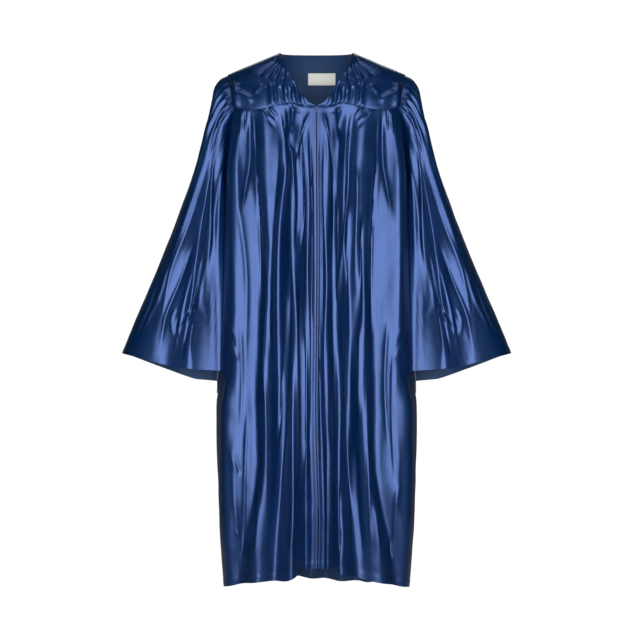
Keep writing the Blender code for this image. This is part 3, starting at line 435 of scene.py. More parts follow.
# Creases of a front yoke, which fan out from the neck point, and of the back yoke
YOKE_CREASES = (
    (0.0030, -0.0022, (0.082, 0.012), (0.112, 0.030), (0.150, 0.050)),
    (0.0028, 0.0018, (0.084, 0.018), (0.114, 0.038), (0.148, 0.058)),
    (0.0028, -0.0022, (0.080, 0.020), (0.104, 0.042), (0.126, 0.060)),
    (0.0026, 0.0018, (0.080, 0.026), (0.100, 0.048), (0.118, 0.064)),
    (0.0026, -0.0022, (0.078, 0.026), (0.092, 0.046), (0.108, 0.066)),
    (0.0024, 0.0018, (0.077, 0.032), (0.088, 0.052), (0.098, 0.070)),
    (0.0026, -0.0026, (0.074, 0.030), (0.080, 0.050), (0.088, 0.066)),
    (0.0024, 0.0018, (0.072, 0.040), (0.076, 0.058), (0.082, 0.074)),
    (0.0026, -0.0020, (0.068, 0.036), (0.066, 0.054), (0.072, 0.070)),
    (0.0030, 0.0018, (0.064, 0.050), (0.062, 0.070), (0.066, 0.094)),
    (0.0028, -0.0024, (0.090, 0.072), (0.086, 0.094), (0.082, 0.136)),
    (0.0026, 0.0020, (0.098, 0.074), (0.094, 0.098), (0.090, 0.136)),
    (0.0030, -0.0024, (0.072, 0.074), (0.074, 0.096), (0.068, 0.136)),
    (0.0026, -0.0022, (0.108, 0.078), (0.104, 0.098), (0.102, 0.136)),
    (0.0024, 0.0020, (0.062, 0.078), (0.064, 0.100), (0.060, 0.136)),
    (0.0026, -0.0022, (0.054, 0.086), (0.056, 0.104), (0.052, 0.138)),
    (0.0024, -0.0022, (0.022, 0.096), (0.020, 0.110), (0.018, 0.140)),
    (0.0090, 0.0058, (0.172, 0.062), (0.169, 0.098), (0.165, 0.150)),
    (0.0034, 0.0016, (0.082, 0.080), (0.070, 0.086), (0.060, 0.098)),
    (0.0034, -0.0040, (0.047, 0.070), (0.041, 0.094), (0.039, 0.136)),
    (0.0026, 0.0030, (0.053, 0.078), (0.048, 0.100), (0.046, 0.136)),
    (0.0024, 0.0026, (0.036, 0.082), (0.031, 0.100), (0.028, 0.138)),
    (0.0080, 0.0022, (0.168, 0.090), (0.150, 0.104), (0.130, 0.118)),
    (0.0070, -0.0016, (0.172, 0.078), (0.148, 0.090), (0.116, 0.108)),
    (0.0050, 0.0014, (0.110, 0.078), (0.124, 0.090), (0.134, 0.104)),
)
BACK_YOKE_CREASES = (
    (0.0040, 0.0018, (0.084, 0.020), (0.114, 0.044), (0.148, 0.064)),
    (0.0036, -0.0020, (0.082, 0.028), (0.108, 0.056), (0.134, 0.084)),
    (0.0034, 0.0018, (0.078, 0.032), (0.096, 0.064), (0.110, 0.098)),
    (0.0034, -0.0018, (0.072, 0.026), (0.080, 0.060), (0.088, 0.100)),
    (0.0040, 0.0016, (0.056, 0.030), (0.060, 0.066), (0.058, 0.104)),
    (0.0050, -0.0014, (0.030, 0.036), (0.032, 0.074), (0.026, 0.114)),
    (0.0060, 0.0016, (0.120, 0.092), (0.142, 0.098), (0.166, 0.096)),
)

# Creases of a sleeve's front and back
SLEEVE_CREASES_FRONT = (
    # the long ridge from the cap to the cuff, and the broad hollow inside it
    (0.0100, 0.0085, (0.208, 0.110), (0.236, 0.220), (0.282, 0.390), (0.350, 0.570)),
    (0.0200, -0.0110, (0.212, 0.150), (0.240, 0.320), (0.258, 0.500), (0.264, 0.640), (0.266, 0.760)),
    (0.0045, 0.0050, (0.238, 0.540), (0.232, 0.640), (0.230, 0.760)),
    (0.0045, -0.0050, (0.246, 0.480), (0.250, 0.600), (0.250, 0.760)),
    (0.0055, -0.0050, (0.218, 0.440), (0.216, 0.600), (0.214, 0.780), (0.213, 0.960)),
    (0.0036, -0.0040, (0.214, 0.140), (0.254, 0.290), (0.306, 0.450), (0.356, 0.600)),
    (0.0036, 0.0036, (0.222, 0.200), (0.262, 0.360), (0.304, 0.480), (0.330, 0.600)),
    (0.0045, 0.0044, (0.250, 0.380), (0.286, 0.490), (0.316, 0.570), (0.330, 0.650)),
    (0.0045, -0.0042, (0.258, 0.440), (0.282, 0.540), (0.302, 0.655)),
    (0.0040, 0.0044, (0.244, 0.480), (0.264, 0.570), (0.286, 0.665)),
    (0.0036, -0.0036, (0.232, 0.420), (0.248, 0.540), (0.268, 0.670)),
    (0.0050, 0.0044, (0.219, 0.240), (0.226, 0.400), (0.232, 0.500), (0.238, 0.600)),
    (0.0052, 0.0044, (0.198, 0.130), (0.203, 0.260), (0.208, 0.400), (0.206, 0.560)),
    (0.0052, -0.0040, (0.206, 0.180), (0.215, 0.320), (0.219, 0.460)),
    (0.0130, -0.0110, (0.228, 0.380), (0.235, 0.560), (0.238, 0.760), (0.240, 0.960)),
    (0.0045, 0.0040, (0.300, 0.440), (0.330, 0.530), (0.372, 0.610)),
    (0.0040, -0.0038, (0.316, 0.440), (0.346, 0.540), (0.386, 0.625)),
    # short creases by the elbow
    (0.0030, 0.0026, (0.256, 0.540), (0.268, 0.560), (0.284, 0.572)),
    (0.0028, -0.0026, (0.262, 0.560), (0.276, 0.580), (0.294, 0.590)),
    (0.0028, 0.0026, (0.288, 0.560), (0.296, 0.590), (0.292, 0.625)),
    (0.0028, -0.0026, (0.296, 0.545), (0.306, 0.575), (0.302, 0.615)),
)
SLEEVE_CREASES_BACK = (
    (0.0060, 0.0034, (0.208, 0.110), (0.244, 0.250), (0.296, 0.420), (0.352, 0.600)),
    (0.0045, -0.0032, (0.216, 0.200), (0.252, 0.340), (0.292, 0.490), (0.326, 0.640)),
    (0.0050, 0.0030, (0.230, 0.260), (0.262, 0.400), (0.292, 0.540), (0.306, 0.670)),
    (0.0045, -0.0030, (0.220, 0.300), (0.244, 0.440), (0.264, 0.580), (0.276, 0.690)),
    (0.0045, 0.0030, (0.212, 0.240), (0.226, 0.400), (0.242, 0.560), (0.250, 0.690)),
    (0.0036, -0.0026, (0.204, 0.220), (0.214, 0.400), (0.226, 0.600)),
    (0.0045, 0.0028, (0.306, 0.450), (0.336, 0.550), (0.376, 0.630)),
    (0.0030, 0.0020, (0.250, 0.500), (0.266, 0.524), (0.284, 0.530)),
)
YOKE_CREASE_SHARE = 1.35
CREASE_STEPS = 10
CREASE_REACH = 3.0

# Fine ripples along the grain: distance across, distance down, height
RIPPLES = ((0.030, 0.260, 0.0008), (0.013, 0.120, 0.00024), (0.006, 0.060, 0.00010))
CRUMPLE = (0.022, 0.032, 0.0005)
SEAM_DIP = 0.0012
SEAM_ROLL = 0.0050
SLEEVE_PUFF = 0.0045
PUFF_TOP = 0.020
PUFF_END = 0.110
HEM_DEPTH = 0.014
HEM_STEP = 0.0005
HEM_SOFT = 0.003
EDGE_SOFT = 0.006

# The cut of each cloth piece: width, length and flat area, before pleats and gathers
CUTS = {
    "front": (0.420, 1.030, 0.335),
    "back": (0.760, 1.030, 0.600),
    "yoke_front": (0.190, 0.190, 0.0225),
    "yoke_back": (0.400, 0.200, 0.062),
    "sleeve": (0.560, 0.700, 0.270),
    "zip_tape": (0.0115, 0.900, 0.0100),
    "size_label": (0.060, 0.025, 0.0015),
}

# The finish of each cloth's face and back
FINISHES = {
    "satin": ("satin_face", "satin_back"),
    "zip_tape": ("tape_weave", "tape_weave"),
    "label_cloth": ("label_weave", "label_weave"),
}

# The label
LABEL_CENTRE = (0.0115, 0.0455)
LABEL_CALM = (0.046, 0.030)
LABEL_CLEAR = 0.0006
LABEL_THICK = 0.0004
LABEL_CELLS = (48, 22)
LABEL_FRAY = 0.0002

# Stitching, as distances from the edge it follows
STITCH_LINES = {"seam": 0.0030, "zip": 0.0052, "hem": HEM_DEPTH - 0.0015}

# Studio
IMAGE_SIDE = 640
CAMERA_PLACE = (0.0075, -3.500, -0.574)
CAMERA_LENS = 91.6
FLOOR_DROP = 1.450


def through(at, knots, values):
    """A smooth curve through the knots, which rise, read at the given places."""
    knots = np.asarray(knots, float)
    values = np.asarray(values, float)
    at = np.clip(np.asarray(at, float), knots[0], knots[-1])
    slope = np.gradient(values, knots)
    i = np.clip(np.searchsorted(knots, at, side="right") - 1, 0, len(knots) - 2)
    span = knots[i + 1] - knots[i]
    t = (at - knots[i]) / span
    near = values[i] * (2 * t**3 - 3 * t**2 + 1) + slope[i] * span * (t**3 - 2 * t**2 + t)
    far = values[i + 1] * (3 * t**2 - 2 * t**3) + slope[i + 1] * span * (t**3 - t**2)
    return near + far


def table(rows, at, column=1):
    """One column of a table of rows, read smoothly by the rows' first column."""
    return through(at, [row[0] for row in rows], [row[column] for row in rows])


def eased(t):
    """A soft step from 0 to 1."""
    return 0.5 - 0.5 * np.cos(np.pi * np.clip(t, 0.0, 1.0))


def ring_sizes(drop, face):
    """Half width, depth and squareness of the plain body."""
    depth = table(BODY_RINGS, drop, 2 if face == FRONT else 3)
    return table(BODY_RINGS, drop, 1), depth, table(BODY_RINGS, drop, 4)


def ring_depth(across, drop, face):
    """How far the plain body lies from the plane of the shoulders."""
    half, depth, square = ring_sizes(drop, face)
    share = np.clip(np.abs(across) / half, 0.0, 1.0)
    return depth * (1.0 - share**square) ** (1.0 / square)


def bearing(across, drop, face):
    """The angle from the middle of the front or back, negative to the left."""
    return np.arctan2(across, ring_depth(across, drop, face))


def on_ring(angle, drop, face):
    """The point of the plain body at a bearing, and the way out from it."""
    half, depth, square = ring_sizes(drop, face)
    side, deep = np.abs(np.sin(angle)) / half, np.abs(np.cos(angle)) / depth
    reach = (side**square + deep**square) ** (-1.0 / square)
    across, ahead = reach * np.sin(angle), reach * np.cos(angle) * face
    out_x = np.sign(across) * (np.abs(across) / half) ** (square - 1) / half
    out_y = np.sign(ahead) * (np.abs(ahead) / depth) ** (square - 1) / depth
    size = np.hypot(out_x, out_y)
    return across, ahead, out_x / size, out_y / size


def armhole_bearing(drop, face):
    """The bearing of the armhole's edge, and of the side seam below the underarm."""
    corner_half, seam = (YOKE_CORNER_HALF, FRONT_SEAM) if face == FRONT else (BACK_CORNER_HALF, BACK_SEAM)
    corner_drop = seam[-1][1]
    opening = math.pi / 2 - bearing(corner_half, corner_drop, face)
    way = (drop - corner_drop) / (UNDERARM_DROP - corner_drop)
    share = np.where(way < 1.0, table(ARMHOLE, way), 0.0)
    side_gap = SEAM_GAP / 2 / table(BODY_RINGS, drop, 1)
    return math.pi / 2 - np.maximum(opening * share, side_gap)


def front_lines(name):
    """Bearing and height of each fold line of a front, from the zip to the side."""
    side = SIDE[name]

    def fold(key):
        spots, heights = FRONT_FOLDS[name][key]

        def read(drop):
            middle = table(ZIP_LINE, drop) if key == "tape_ridge" else 0.0
            across = middle + side * through(drop, FOLD_DROPS, spots)
            return bearing(across, drop, FRONT), through(drop, FOLD_DROPS, heights)

        return read

    def edge(drop):
        across = table(ZIP_LINE, drop) + side * ZIP_GAP / 2
        return bearing(across, drop, FRONT), through(drop, FOLD_DROPS, ZIP_EDGE_OUT)

    def outer(drop):
        return side * armhole_bearing(drop, FRONT), np.zeros_like(drop)

    return [edge, *(fold(key) for key in FRONT_FOLDS[name]), outer]


def back_lines():
    """Bearing and height of each fold line of the back, from left to right."""

    def fold(spots, heights):
        def read(drop):
            across = through(drop, BACK_DROPS, spots)
            return bearing(across, drop, BACK), through(drop, BACK_DROPS, heights)

        return read

    def outer(side):
        return lambda drop: (side * armhole_bearing(drop, BACK), np.zeros_like(drop))

    return [outer(-1.0), *(fold(*line) for line in BACK_FOLDS), outer(1.0)]


def panel_surface(lines, face, top, hem):
    """A body panel as a function of the place between its fold lines and the way down."""

    def across_at(place, drop):
        angle, _ = between(place, np.full_like(place, drop))
        return on_ring(angle, np.full_like(place, drop), face)[0]

    def between(place, drop):
        angle, height = np.empty_like(drop), np.empty_like(drop)
        for k in range(len(lines) - 1):
            last = k == len(lines) - 2
            here = (place >= k if k else place > -1) & ((place < k + 1) | last)
            if here.any():
                start, end = lines[k](drop[here]), lines[k + 1](drop[here])
                part = place[here] - k
                angle[here] = start[0] + (end[0] - start[0]) * part
                height[here] = start[1] + (end[1] - start[1]) * (0.5 - 0.5 * np.cos(np.pi * part))
        return angle, height

    def surface(place, down):
        place, down = np.broadcast_arrays(place, down)
        seam = top(across_at(place, BODY_RINGS[1][0])) + SEAM_GAP / 2
        end = hem(across_at(place, BODY_RINGS[-1][0]))
        drop = seam + (end - seam) * down
        angle, height = between(place, drop)
        across, ahead, out_x, out_y = on_ring(angle, drop, face)
        return np.stack([across + out_x * height, ahead + out_y * height, -drop], axis=-1)

    return surface


def front_surface(name):
    hem = FRONT_HEM[name]
    return panel_surface(
        front_lines(name),
        FRONT,
        lambda across: table(FRONT_SEAM, np.abs(across)),
        lambda across: table(hem, np.abs(across)),
    )


def back_surface():
    return panel_surface(
        back_lines(),
        BACK,
        lambda across: table(BACK_SEAM, np.abs(across)),
        lambda across: table(BACK_HEM, across),
    )


def shoulder_rise(across):
    """Height of the shoulder line, carried on over the neck's base."""
    outward = np.clip((np.abs(across) - NECK_HALF) / (SHOULDER_HALF - NECK_HALF), 0.0, None)
    inward = np.clip(1.0 - (np.abs(across) / NECK_HALF) ** 2, 0.0, None)
    return NECK_BASE_RISE * inward - SHOULDER_DROP * outward


def yoke_point(across, turn, face):
    """A point of the yoke, from the shoulder line at turn 0 to the seam at 90 degrees."""
    seam = FRONT_SEAM if face == FRONT else BACK_SEAM
    seam_drop = table(seam, np.abs(across))
    ridge = shoulder_rise(across)
    depth = ring_depth(across, seam_drop, face)
    height = ridge - (ridge + seam_drop - SEAM_GAP / 2) * (1.0 - np.cos(turn))
    ahead = depth * np.sin(turn) + SEAM_GAP / 2
    return np.stack([across, face * ahead, height], axis=-1)


def yoke_side(turn, face):
    """How far across the yoke's armhole edge lies."""
    corner = YOKE_CORNER_HALF if face == FRONT else BACK_CORNER_HALF
    return SHOULDER_HALF - (SHOULDER_HALF - corner) * (1.0 - np.cos(turn))


def front_yoke_surface(name):
    def surface(place, way):
        turn = math.pi / 2 * way
        neck = table(NECK_EDGE, np.degrees(turn))
        return yoke_point(SIDE[name] * (neck + (yoke_side(turn, FRONT) - neck) * place), turn, FRONT)

    return surface


def back_yoke_surface():
    def surface(share, way):
        reach = np.abs(share) * SHOULDER_HALF
        ridge = shoulder_rise(reach)
        edge = BACK_NECK_RISE * np.clip(1.0 - (reach / NECK_HALF) ** 2, 0.0, None)
        rise = np.where(reach < NECK_HALF, (ridge - edge) / (ridge + table(BACK_SEAM, reach)), 0.0)
        start = np.arccos(np.clip(1.0 - rise, -1.0, 1.0))
        turn = start + (math.pi / 2 - start) * way
        return yoke_point(share * yoke_side(turn, BACK), turn, BACK)

    return surface


def grid_normals(points, ring=False):
    """Normals of a grid of points, from its neighbouring points."""
    if ring:
        along = np.roll(points, -1, axis=1) - np.roll(points, 1, axis=1)
    else:
        along = np.gradient(points, axis=1)
    normal = np.cross(along, np.gradient(points, axis=0))
    return normal / np.maximum(np.linalg.norm(normal, axis=-1, keepdims=True), 1e-12)


def facing_out(points, normal, ring=False):
    """The normals turned so that they point out of the gown, or out of a sleeve."""
    away = points - points.mean(axis=1, keepdims=True) if ring else points * (1.0, 1.0, 0.2) + (0.0, 0.0, 0.05)
    return normal if (normal * away).sum() > 0 else -normal


def lengths(points):
    """Distance of each grid point along the cloth from the top and from the first column."""
    down = np.linalg.norm(np.diff(points, axis=0), axis=-1)
    across = np.linalg.norm(np.diff(points, axis=1), axis=-1)
    from_top = np.concatenate([np.zeros((1, points.shape[1])), np.cumsum(down, axis=0)])
    from_first = np.concatenate([np.zeros((points.shape[0], 1)), np.cumsum(across, axis=1)], axis=1)
    return from_top, from_first


def crease_path(spots):
    """A smooth run of points through the spots of one crease."""
    spots = np.array(spots)
    knots = np.arange(len(spots))
    at = np.linspace(0.0, knots[-1], CREASE_STEPS * (len(spots) - 1) + 1)
    return np.stack([through(at, knots, spots[:, k]) for k in range(2)], axis=-1)


def crease_heights(across, drop, creases):
    """The sum of all creases at the given spots, as seen from the front."""
    total = np.zeros_like(across)
    for width, height, *spots in creases:
        path = crease_path(spots)
        low, high = path.min(axis=0) - CREASE_REACH * width, path.max(axis=0) + CREASE_REACH * width
        near = (across > low[0]) & (across < high[0]) & (drop > low[1]) & (drop < high[1])
        x, z = across[near], drop[near]
        best = np.full(x.shape, np.inf)
        way = np.zeros(x.shape)
        steps = len(path) - 1
        for k in range(steps):
            start, run = path[k], path[k + 1] - path[k]
            t = np.clip(((x - start[0]) * run[0] + (z - start[1]) * run[1]) / (run @ run), 0.0, 1.0)
            far = np.hypot(x - start[0] - t * run[0], z - start[1] - t * run[1])
            closer = far < best
            best = np.where(closer, far, best)
            way = np.where(closer, (k + t) / steps, way)
        fade = eased(way / 0.25) * eased((1.0 - way) / 0.35)
        total[near] += height * fade / (1.0 + (best / width) ** 2) ** 1.5
    return total


def ripple_noise(across, down, cell, seed):
    """Smooth noise with cells of the given width and length, between -1 and 1."""
    x, z = across / cell[0], down / cell[1]
    x, z = x - x.min(), z - z.min()
    rng = np.random.default_rng(seed)
    grid = rng.uniform(-1.0, 1.0, (int(z.max()) + 3, int(x.max()) + 3))
    i, j = z.astype(int), x.astype(int)
    u, v = eased(z - i), eased(x - j)
    top = grid[i, j] * (1 - v) + grid[i, j + 1] * v
    bottom = grid[i + 1, j] * (1 - v) + grid[i + 1, j + 1] * v
    return top * (1 - u) + bottom * u


def ripples(across, down, seed):
    """Fine uneven ripples that run down the cloth, and a little crumple."""
    total = np.zeros_like(across)
    for k, (wide, long, height) in enumerate((*RIPPLES, CRUMPLE)):
        total += height * ripple_noise(across + 0.12 * wide * np.sin(down / long), down, (wide, long), seed + k)
    return total


def hem_relief(from_hem):
    """The turned hem stands a little proud of the cloth above it."""
    return HEM_STEP * (1.0 - eased((from_hem - HEM_DEPTH) / HEM_SOFT))


def seam_dip(from_seam):
    """Cloth sinks into a seam and rolls out of it."""
    return -SEAM_DIP * (1.0 - eased(from_seam / SEAM_ROLL))


def cloth_mesh(name, outer, inner, grain, materials, ring=False):
    """A closed thin wall between two grids, with the grain as its UV map."""
    rows, columns = outer.shape[:2]
    index = np.arange(rows * columns).reshape(rows, columns)
    if ring:
        index = np.concatenate([index, index[:, :1]], axis=1)
    corner = np.arange(index.size).reshape(index.shape)
    count = rows * columns

    def cells(grid):
        return grid[:-1, :-1], grid[:-1, 1:], grid[1:, 1:], grid[1:, :-1]

    a, b, c, d = cells(index)
    ca, cb, cc, cd = cells(corner)
    face = np.stack([a, d, c, b], axis=-1).reshape(-1, 4)
    spot = np.stack([ca, cd, cc, cb], axis=-1).reshape(-1, 4)
    quads = [face, face[:, ::-1] + count]
    spots = [spot, spot[:, ::-1]]
    rims = [((index[0, :-1], index[0, 1:]), (corner[0, :-1], corner[0, 1:]))]
    rims.append(((index[-1, 1:], index[-1, :-1]), (corner[-1, 1:], corner[-1, :-1])))
    if not ring:
        rims.append(((index[1:, 0], index[:-1, 0]), (corner[1:, 0], corner[:-1, 0])))
        rims.append(((index[:-1, -1], index[1:, -1]), (corner[:-1, -1], corner[1:, -1])))
    for (p, q), (cp, cq) in rims:
        quads.append(np.stack([p, q, q + count, p + count], axis=-1))
        spots.append(np.stack([cp, cq, cq, cp], axis=-1))
    look = np.concatenate([np.full(len(q), 1 if k == 1 else 0) for k, q in enumerate(quads)])
    quads, spots = np.concatenate(quads), np.concatenate(spots)
    points = np.concatenate([outer.reshape(-1, 3), inner.reshape(-1, 3)])

    first = points[quads[: len(face)]]
    turned = np.cross(first[:, 1] - first[:, 0], first[:, 2] - first[:, 0])
    out = (outer - inner).reshape(-1, 3)[face[:, 0]]
    if (turned * out).sum() < 0:
        quads, spots = quads[:, ::-1], spots[:, ::-1]

    mesh = bpy.data.meshes.new(name)
    mesh.from_pydata(points.tolist(), [], quads.tolist())
    layer = mesh.uv_layers.new(name="grain")
    layer.data.foreach_set("uv", grain.reshape(-1, 2)[spots.reshape(-1)].reshape(-1).astype(np.float32))
    for material in materials:
        mesh.materials.append(material)
    mesh.polygons.foreach_set("material_index", look.astype(np.int32))
    mesh.shade_smooth()
    mesh.set_sharp_from_angle(angle=math.radians(60))
    mesh.update()
    return mesh


def link(name, mesh, body=BODY, instead=()):
    """A piece of the gown that rides on a body and stands for CAD nodes."""
    piece = bpy.data.objects.new(name, mesh)
    bpy.context.scene.collection.objects.link(piece)
    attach(piece, body)
    if instead:
        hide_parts(*instead)
    return piece


def add_cloth(name, node, points, heights, grain, slot="satin", ring=False, thick=None):
    """One cloth piece over a CAD node: its shape and its grain."""
    cloth = bpy.context.scene.gown_cloth
    thick = thick or cloth.thickness
    normal = facing_out(points, grid_normals(points, ring), ring)
    outer = points + normal * heights[..., None]
    normal = facing_out(outer, grid_normals(outer, ring), ring)
    looks = [material(look) for look in FINISHES[slot]]
    mesh = cloth_mesh(name, outer, outer - thick * normal, grain, looks, ring)
    piece = link(name, mesh, instead=(node,))
    return piece, outer, normal


def panel_grid(surface, columns, rows):
    """Points of a body panel on a fine grid."""
    places = np.array([k + j / n for k, n in enumerate(columns) for j in range(n)] + [float(len(columns))])
    place, way = np.meshgrid(places, np.linspace(0.0, 1.0, rows + 1))
    return surface(place, way)


def body_relief(points, creases, seed, zip_side=False, mirror=1.0):
    """Creases, ripples and hem of a body panel, faded out where it is sewn."""
    from_top, from_first = lengths(points)
    from_hem = from_top[-1] - from_top
    from_last = from_first[:, -1:] - from_first
    across, drop = points[..., 0] * mirror, -points[..., 2]
    relief = crease_heights(across, drop, creases) + ripples(from_first, from_top, seed)
    under_sleeve = 1.0 - eased((drop - 0.70) / 0.06)
    beside = under_sleeve * eased((np.abs(across) - SLEEVE_NEAR[0]) / (SLEEVE_NEAR[1] - SLEEVE_NEAR[0]))
    relief = relief - 0.8 * beside * np.maximum(relief, 0.0)
    side_soft = 0.014 + 0.034 * under_sleeve
    relief = relief * eased(from_top / EDGE_SOFT) * eased(from_last / side_soft)
    if zip_side:
        ridge = eased((from_first - 0.002) / 0.006)
        relief = relief * np.where(relief > 0.0, ridge, eased((from_first - 0.003) / 0.012))
    else:
        relief = relief * eased(from_first / side_soft)
    relief = relief + seam_dip(from_top) + hem_relief(from_hem)
    return relief, np.stack([from_first, -from_top], axis=-1)


def soft_yoke(points, creases, seed, mirror=1.0):
    """Creases and ripples of a yoke, faded out along all its edges."""
    from_top, from_first = lengths(points)
    from_last = from_first[:, -1:] - from_first
    relief = YOKE_CREASE_SHARE * crease_heights(points[..., 0] * mirror, -points[..., 2], creases)
    relief = relief + 0.4 * ripples(from_first, from_top, seed)
    for gone in (from_top, from_top[-1] - from_top, from_first, from_last):
        relief = relief * eased(gone / EDGE_SOFT)
    relief = relief + 0.6 * seam_dip(from_top[-1] - from_top)
    return relief, np.stack([from_first, -from_top], axis=-1)


def armhole_loop(name):
    """Points and normals round the armhole, down its front and up its back, and how far round they are."""
    side = SIDE[name]
    count = SLEEVE_COLUMNS // 2
    turns = np.linspace(0.0, math.pi / 2, 60)
    halves = []
    for face, surface in ((FRONT, front_surface(name)), (BACK, back_surface())):
        yoke = yoke_point(side * yoke_side(turns, face), turns, face)
        place = float(len(FRONT_COLUMNS)) if face == FRONT else (0.0 if side < 0 else float(len(BACK_COLUMNS)))
        ends = surface(np.array([place, place]), np.array([0.0, 1.0]))[:, 2]
        seam = FRONT_SEAM if face == FRONT else BACK_SEAM
        reach = (UNDERARM_DROP - seam[-1][1]) / (ends[0] - ends[1])
        ways = np.linspace(0.0, reach, 60)
        edge = surface(np.full_like(ways, place), ways)
        line = np.concatenate([yoke[:-1], [(yoke[-1] + edge[0]) / 2], edge[1:]])
        halves.append(line)
    shoulder = (halves[0][0] + halves[1][0]) / 2
    underarm = (halves[0][-1] + halves[1][-1]) / 2
    loop, gathers = [], []
    for face, line in zip((FRONT, BACK), halves):
        line[0], line[-1] = shoulder, underarm
        gone = np.concatenate([[0.0], np.cumsum(np.linalg.norm(np.diff(line, axis=0), axis=1))])
        at = np.linspace(0.0, gone[-1], count + 1)
        places = np.stack([np.interp(at, gone, line[:, k]) for k in range(3)], axis=-1)
        turned = np.interp(np.radians(GATHER_TURNS), turns, gone[: len(turns)])
        number = np.interp(at, turned, np.arange(len(GATHER_TURNS)))
        wave = np.cos(2 * np.pi * number) * (at <= turned[-1])
        loop.append(places[:-1] if face == FRONT else places[:0:-1])
        gathers.append(wave[:-1] if face == FRONT else wave[:0:-1])
    return np.concatenate(loop), np.concatenate(gathers)


def sleeve_points(name):
    """The plain sleeve from its armhole to its cuff, with the share in from the overarm line."""
    side = SIDE[name]
    loop, gathers = armhole_loop(name)
    loop = loop + (side * ARMHOLE_SHIFT, 0.0, 0.0)
    full = np.linspace(0.0, 2 * np.pi, SLEEVE_COLUMNS + 1)[:-1]
    rows = np.linspace(0.0, 1.0, SLEEVE_ROWS + 1)[:, None]
    over_drop = OVERARM[0][0] + (OVERARM[-1][0] - OVERARM[0][0]) * rows
    over = side * table(OVERARM, over_drop)
    under_drop = UNDERARM_DROP + (CUFF_INNER_DROP - UNDERARM_DROP) * rows
    clear = BODY_TO_SLEEVE * eased(rows / CLEAR_SHARE)
    under = side * (table(BODY_RINGS, under_drop, 1) + clear)
    depth = table(SLEEVE_DEPTH, rows)
    share = (1.0 - np.cos(full)) / 2
    flat = np.stack(
        [
            over + (under - over) * share,
            -depth * np.sin(full),
            -(over_drop + (under_drop - over_drop) * share),
        ],
        axis=-1,
    )
    pull = np.clip(1.0 - rows / ARMHOLE_BLEND_END, 0.0, 1.0)[:, :, None] ** 2
    flat = flat + (loop - flat[0]) * pull
    edge = np.where(np.sin(full) >= 0, table(CUFF_EDGE, share, 1), table(CUFF_EDGE, share, 2))
    settle = eased((rows - HEM_SHAPE_START) / (1.0 - HEM_SHAPE_START))
    flat[:, :, 2] += (-edge - flat[-1, :, 2]) * settle
    wrap = eased((share - WRAP_SHARES[0]) / (WRAP_SHARES[1] - WRAP_SHARES[0])) * eased(rows / WRAP_FULL)
    drop, ahead = -flat[:, :, 2], flat[:, :, 1]
    half = table(BODY_RINGS, drop, 1)
    depth = np.where(ahead < 0, table(BODY_RINGS, drop, 2), table(BODY_RINGS, drop, 3))
    square = table(BODY_RINGS, drop, 4)
    beside = half * (1.0 - (np.abs(ahead) / depth) ** square) ** (1.0 / square) + clear
    flat[:, :, 0] += (side * beside - flat[:, :, 0]) * wrap
    return flat, share, full, gathers, wrap


def sleeve_folds(share, full):
    """Height of the main folds over the plain sleeve."""
    rows = np.linspace(0.0, 1.0, SLEEVE_ROWS + 1)
    heights = np.zeros((len(rows), len(share)))
    at = np.arccos(np.clip(1.0 - 2.0 * share, -1.0, 1.0))
    for folds, here in ((SLEEVE_FOLDS_FRONT, np.sin(full) >= 0), (SLEEVE_FOLDS_BACK, np.sin(full) < 0)):
        spots = [through(rows, SLEEVE_SHARES, fold[0]) for fold in folds]
        levels = [through(rows, SLEEVE_SHARES, fold[1]) for fold in folds]
        none = np.zeros_like(rows)
        turned = np.arccos(1.0 - 2.0 * np.stack([none, *spots, none + 1.0], axis=-1))
        levels = np.stack([none, *levels, none], axis=-1)
        for i in range(len(rows)):
            k = np.clip(np.searchsorted(turned[i], at, side="right") - 1, 0, len(folds))
            part = eased((at - turned[i][k]) / (turned[i][k + 1] - turned[i][k]))
            level = levels[i][k] + (levels[i][k + 1] - levels[i][k]) * part
            heights[i, here] = level[here]
    return heights


def tube_block(centres, along, across, size):
    """Many small rounded bars as one set of points and faces."""
    along, across = np.asarray(along, float), np.asarray(across, float)
    third = np.cross(along, across)
    long, wide, deep = size
    ends = np.array([(-1.0, 0.55), (-0.7, 1.0), (0.7, 1.0), (1.0, 0.55)])
    sides = 6
    angles = 2 * np.pi * np.arange(sides) / sides
    points = []
    for place, girth in ends:
        for angle in angles:
            spot = centres + along * (place * long / 2) + across * (girth * wide / 2 * math.cos(angle))
            points.append(spot + third * (girth * deep / 2 * math.sin(angle)))
    points = np.stack(points, axis=1)
    faces = []
    for ring in range(len(ends) - 1):
        for k in range(sides):
            n = (k + 1) % sides
            faces.append((ring * sides + k, ring * sides + n, (ring + 1) * sides + n, (ring + 1) * sides + k))
    caps = [tuple(range(sides))[::-1], tuple((len(ends) - 1) * sides + k for k in range(sides))]
    count = points.shape[1]
    polygons = []
    for i in range(len(points)):
        polygons += [tuple(v + i * count for v in face) for face in faces]
        polygons += [tuple(v + i * count for v in cap) for cap in caps]
    return points.reshape(-1, 3), polygons


def add_bars(name, centres, along, across, size, look, body=BODY):
    """Many small bars, such as stitches or teeth, in one piece."""
    points, polygons = tube_block(centres, along, across, size)
    mesh = bpy.data.meshes.new(name)
    mesh.from_pydata(points.tolist(), [], polygons)
    mesh.materials.append(material(look))
    mesh.shade_smooth()
    mesh.update()
    return link(name, mesh, body)


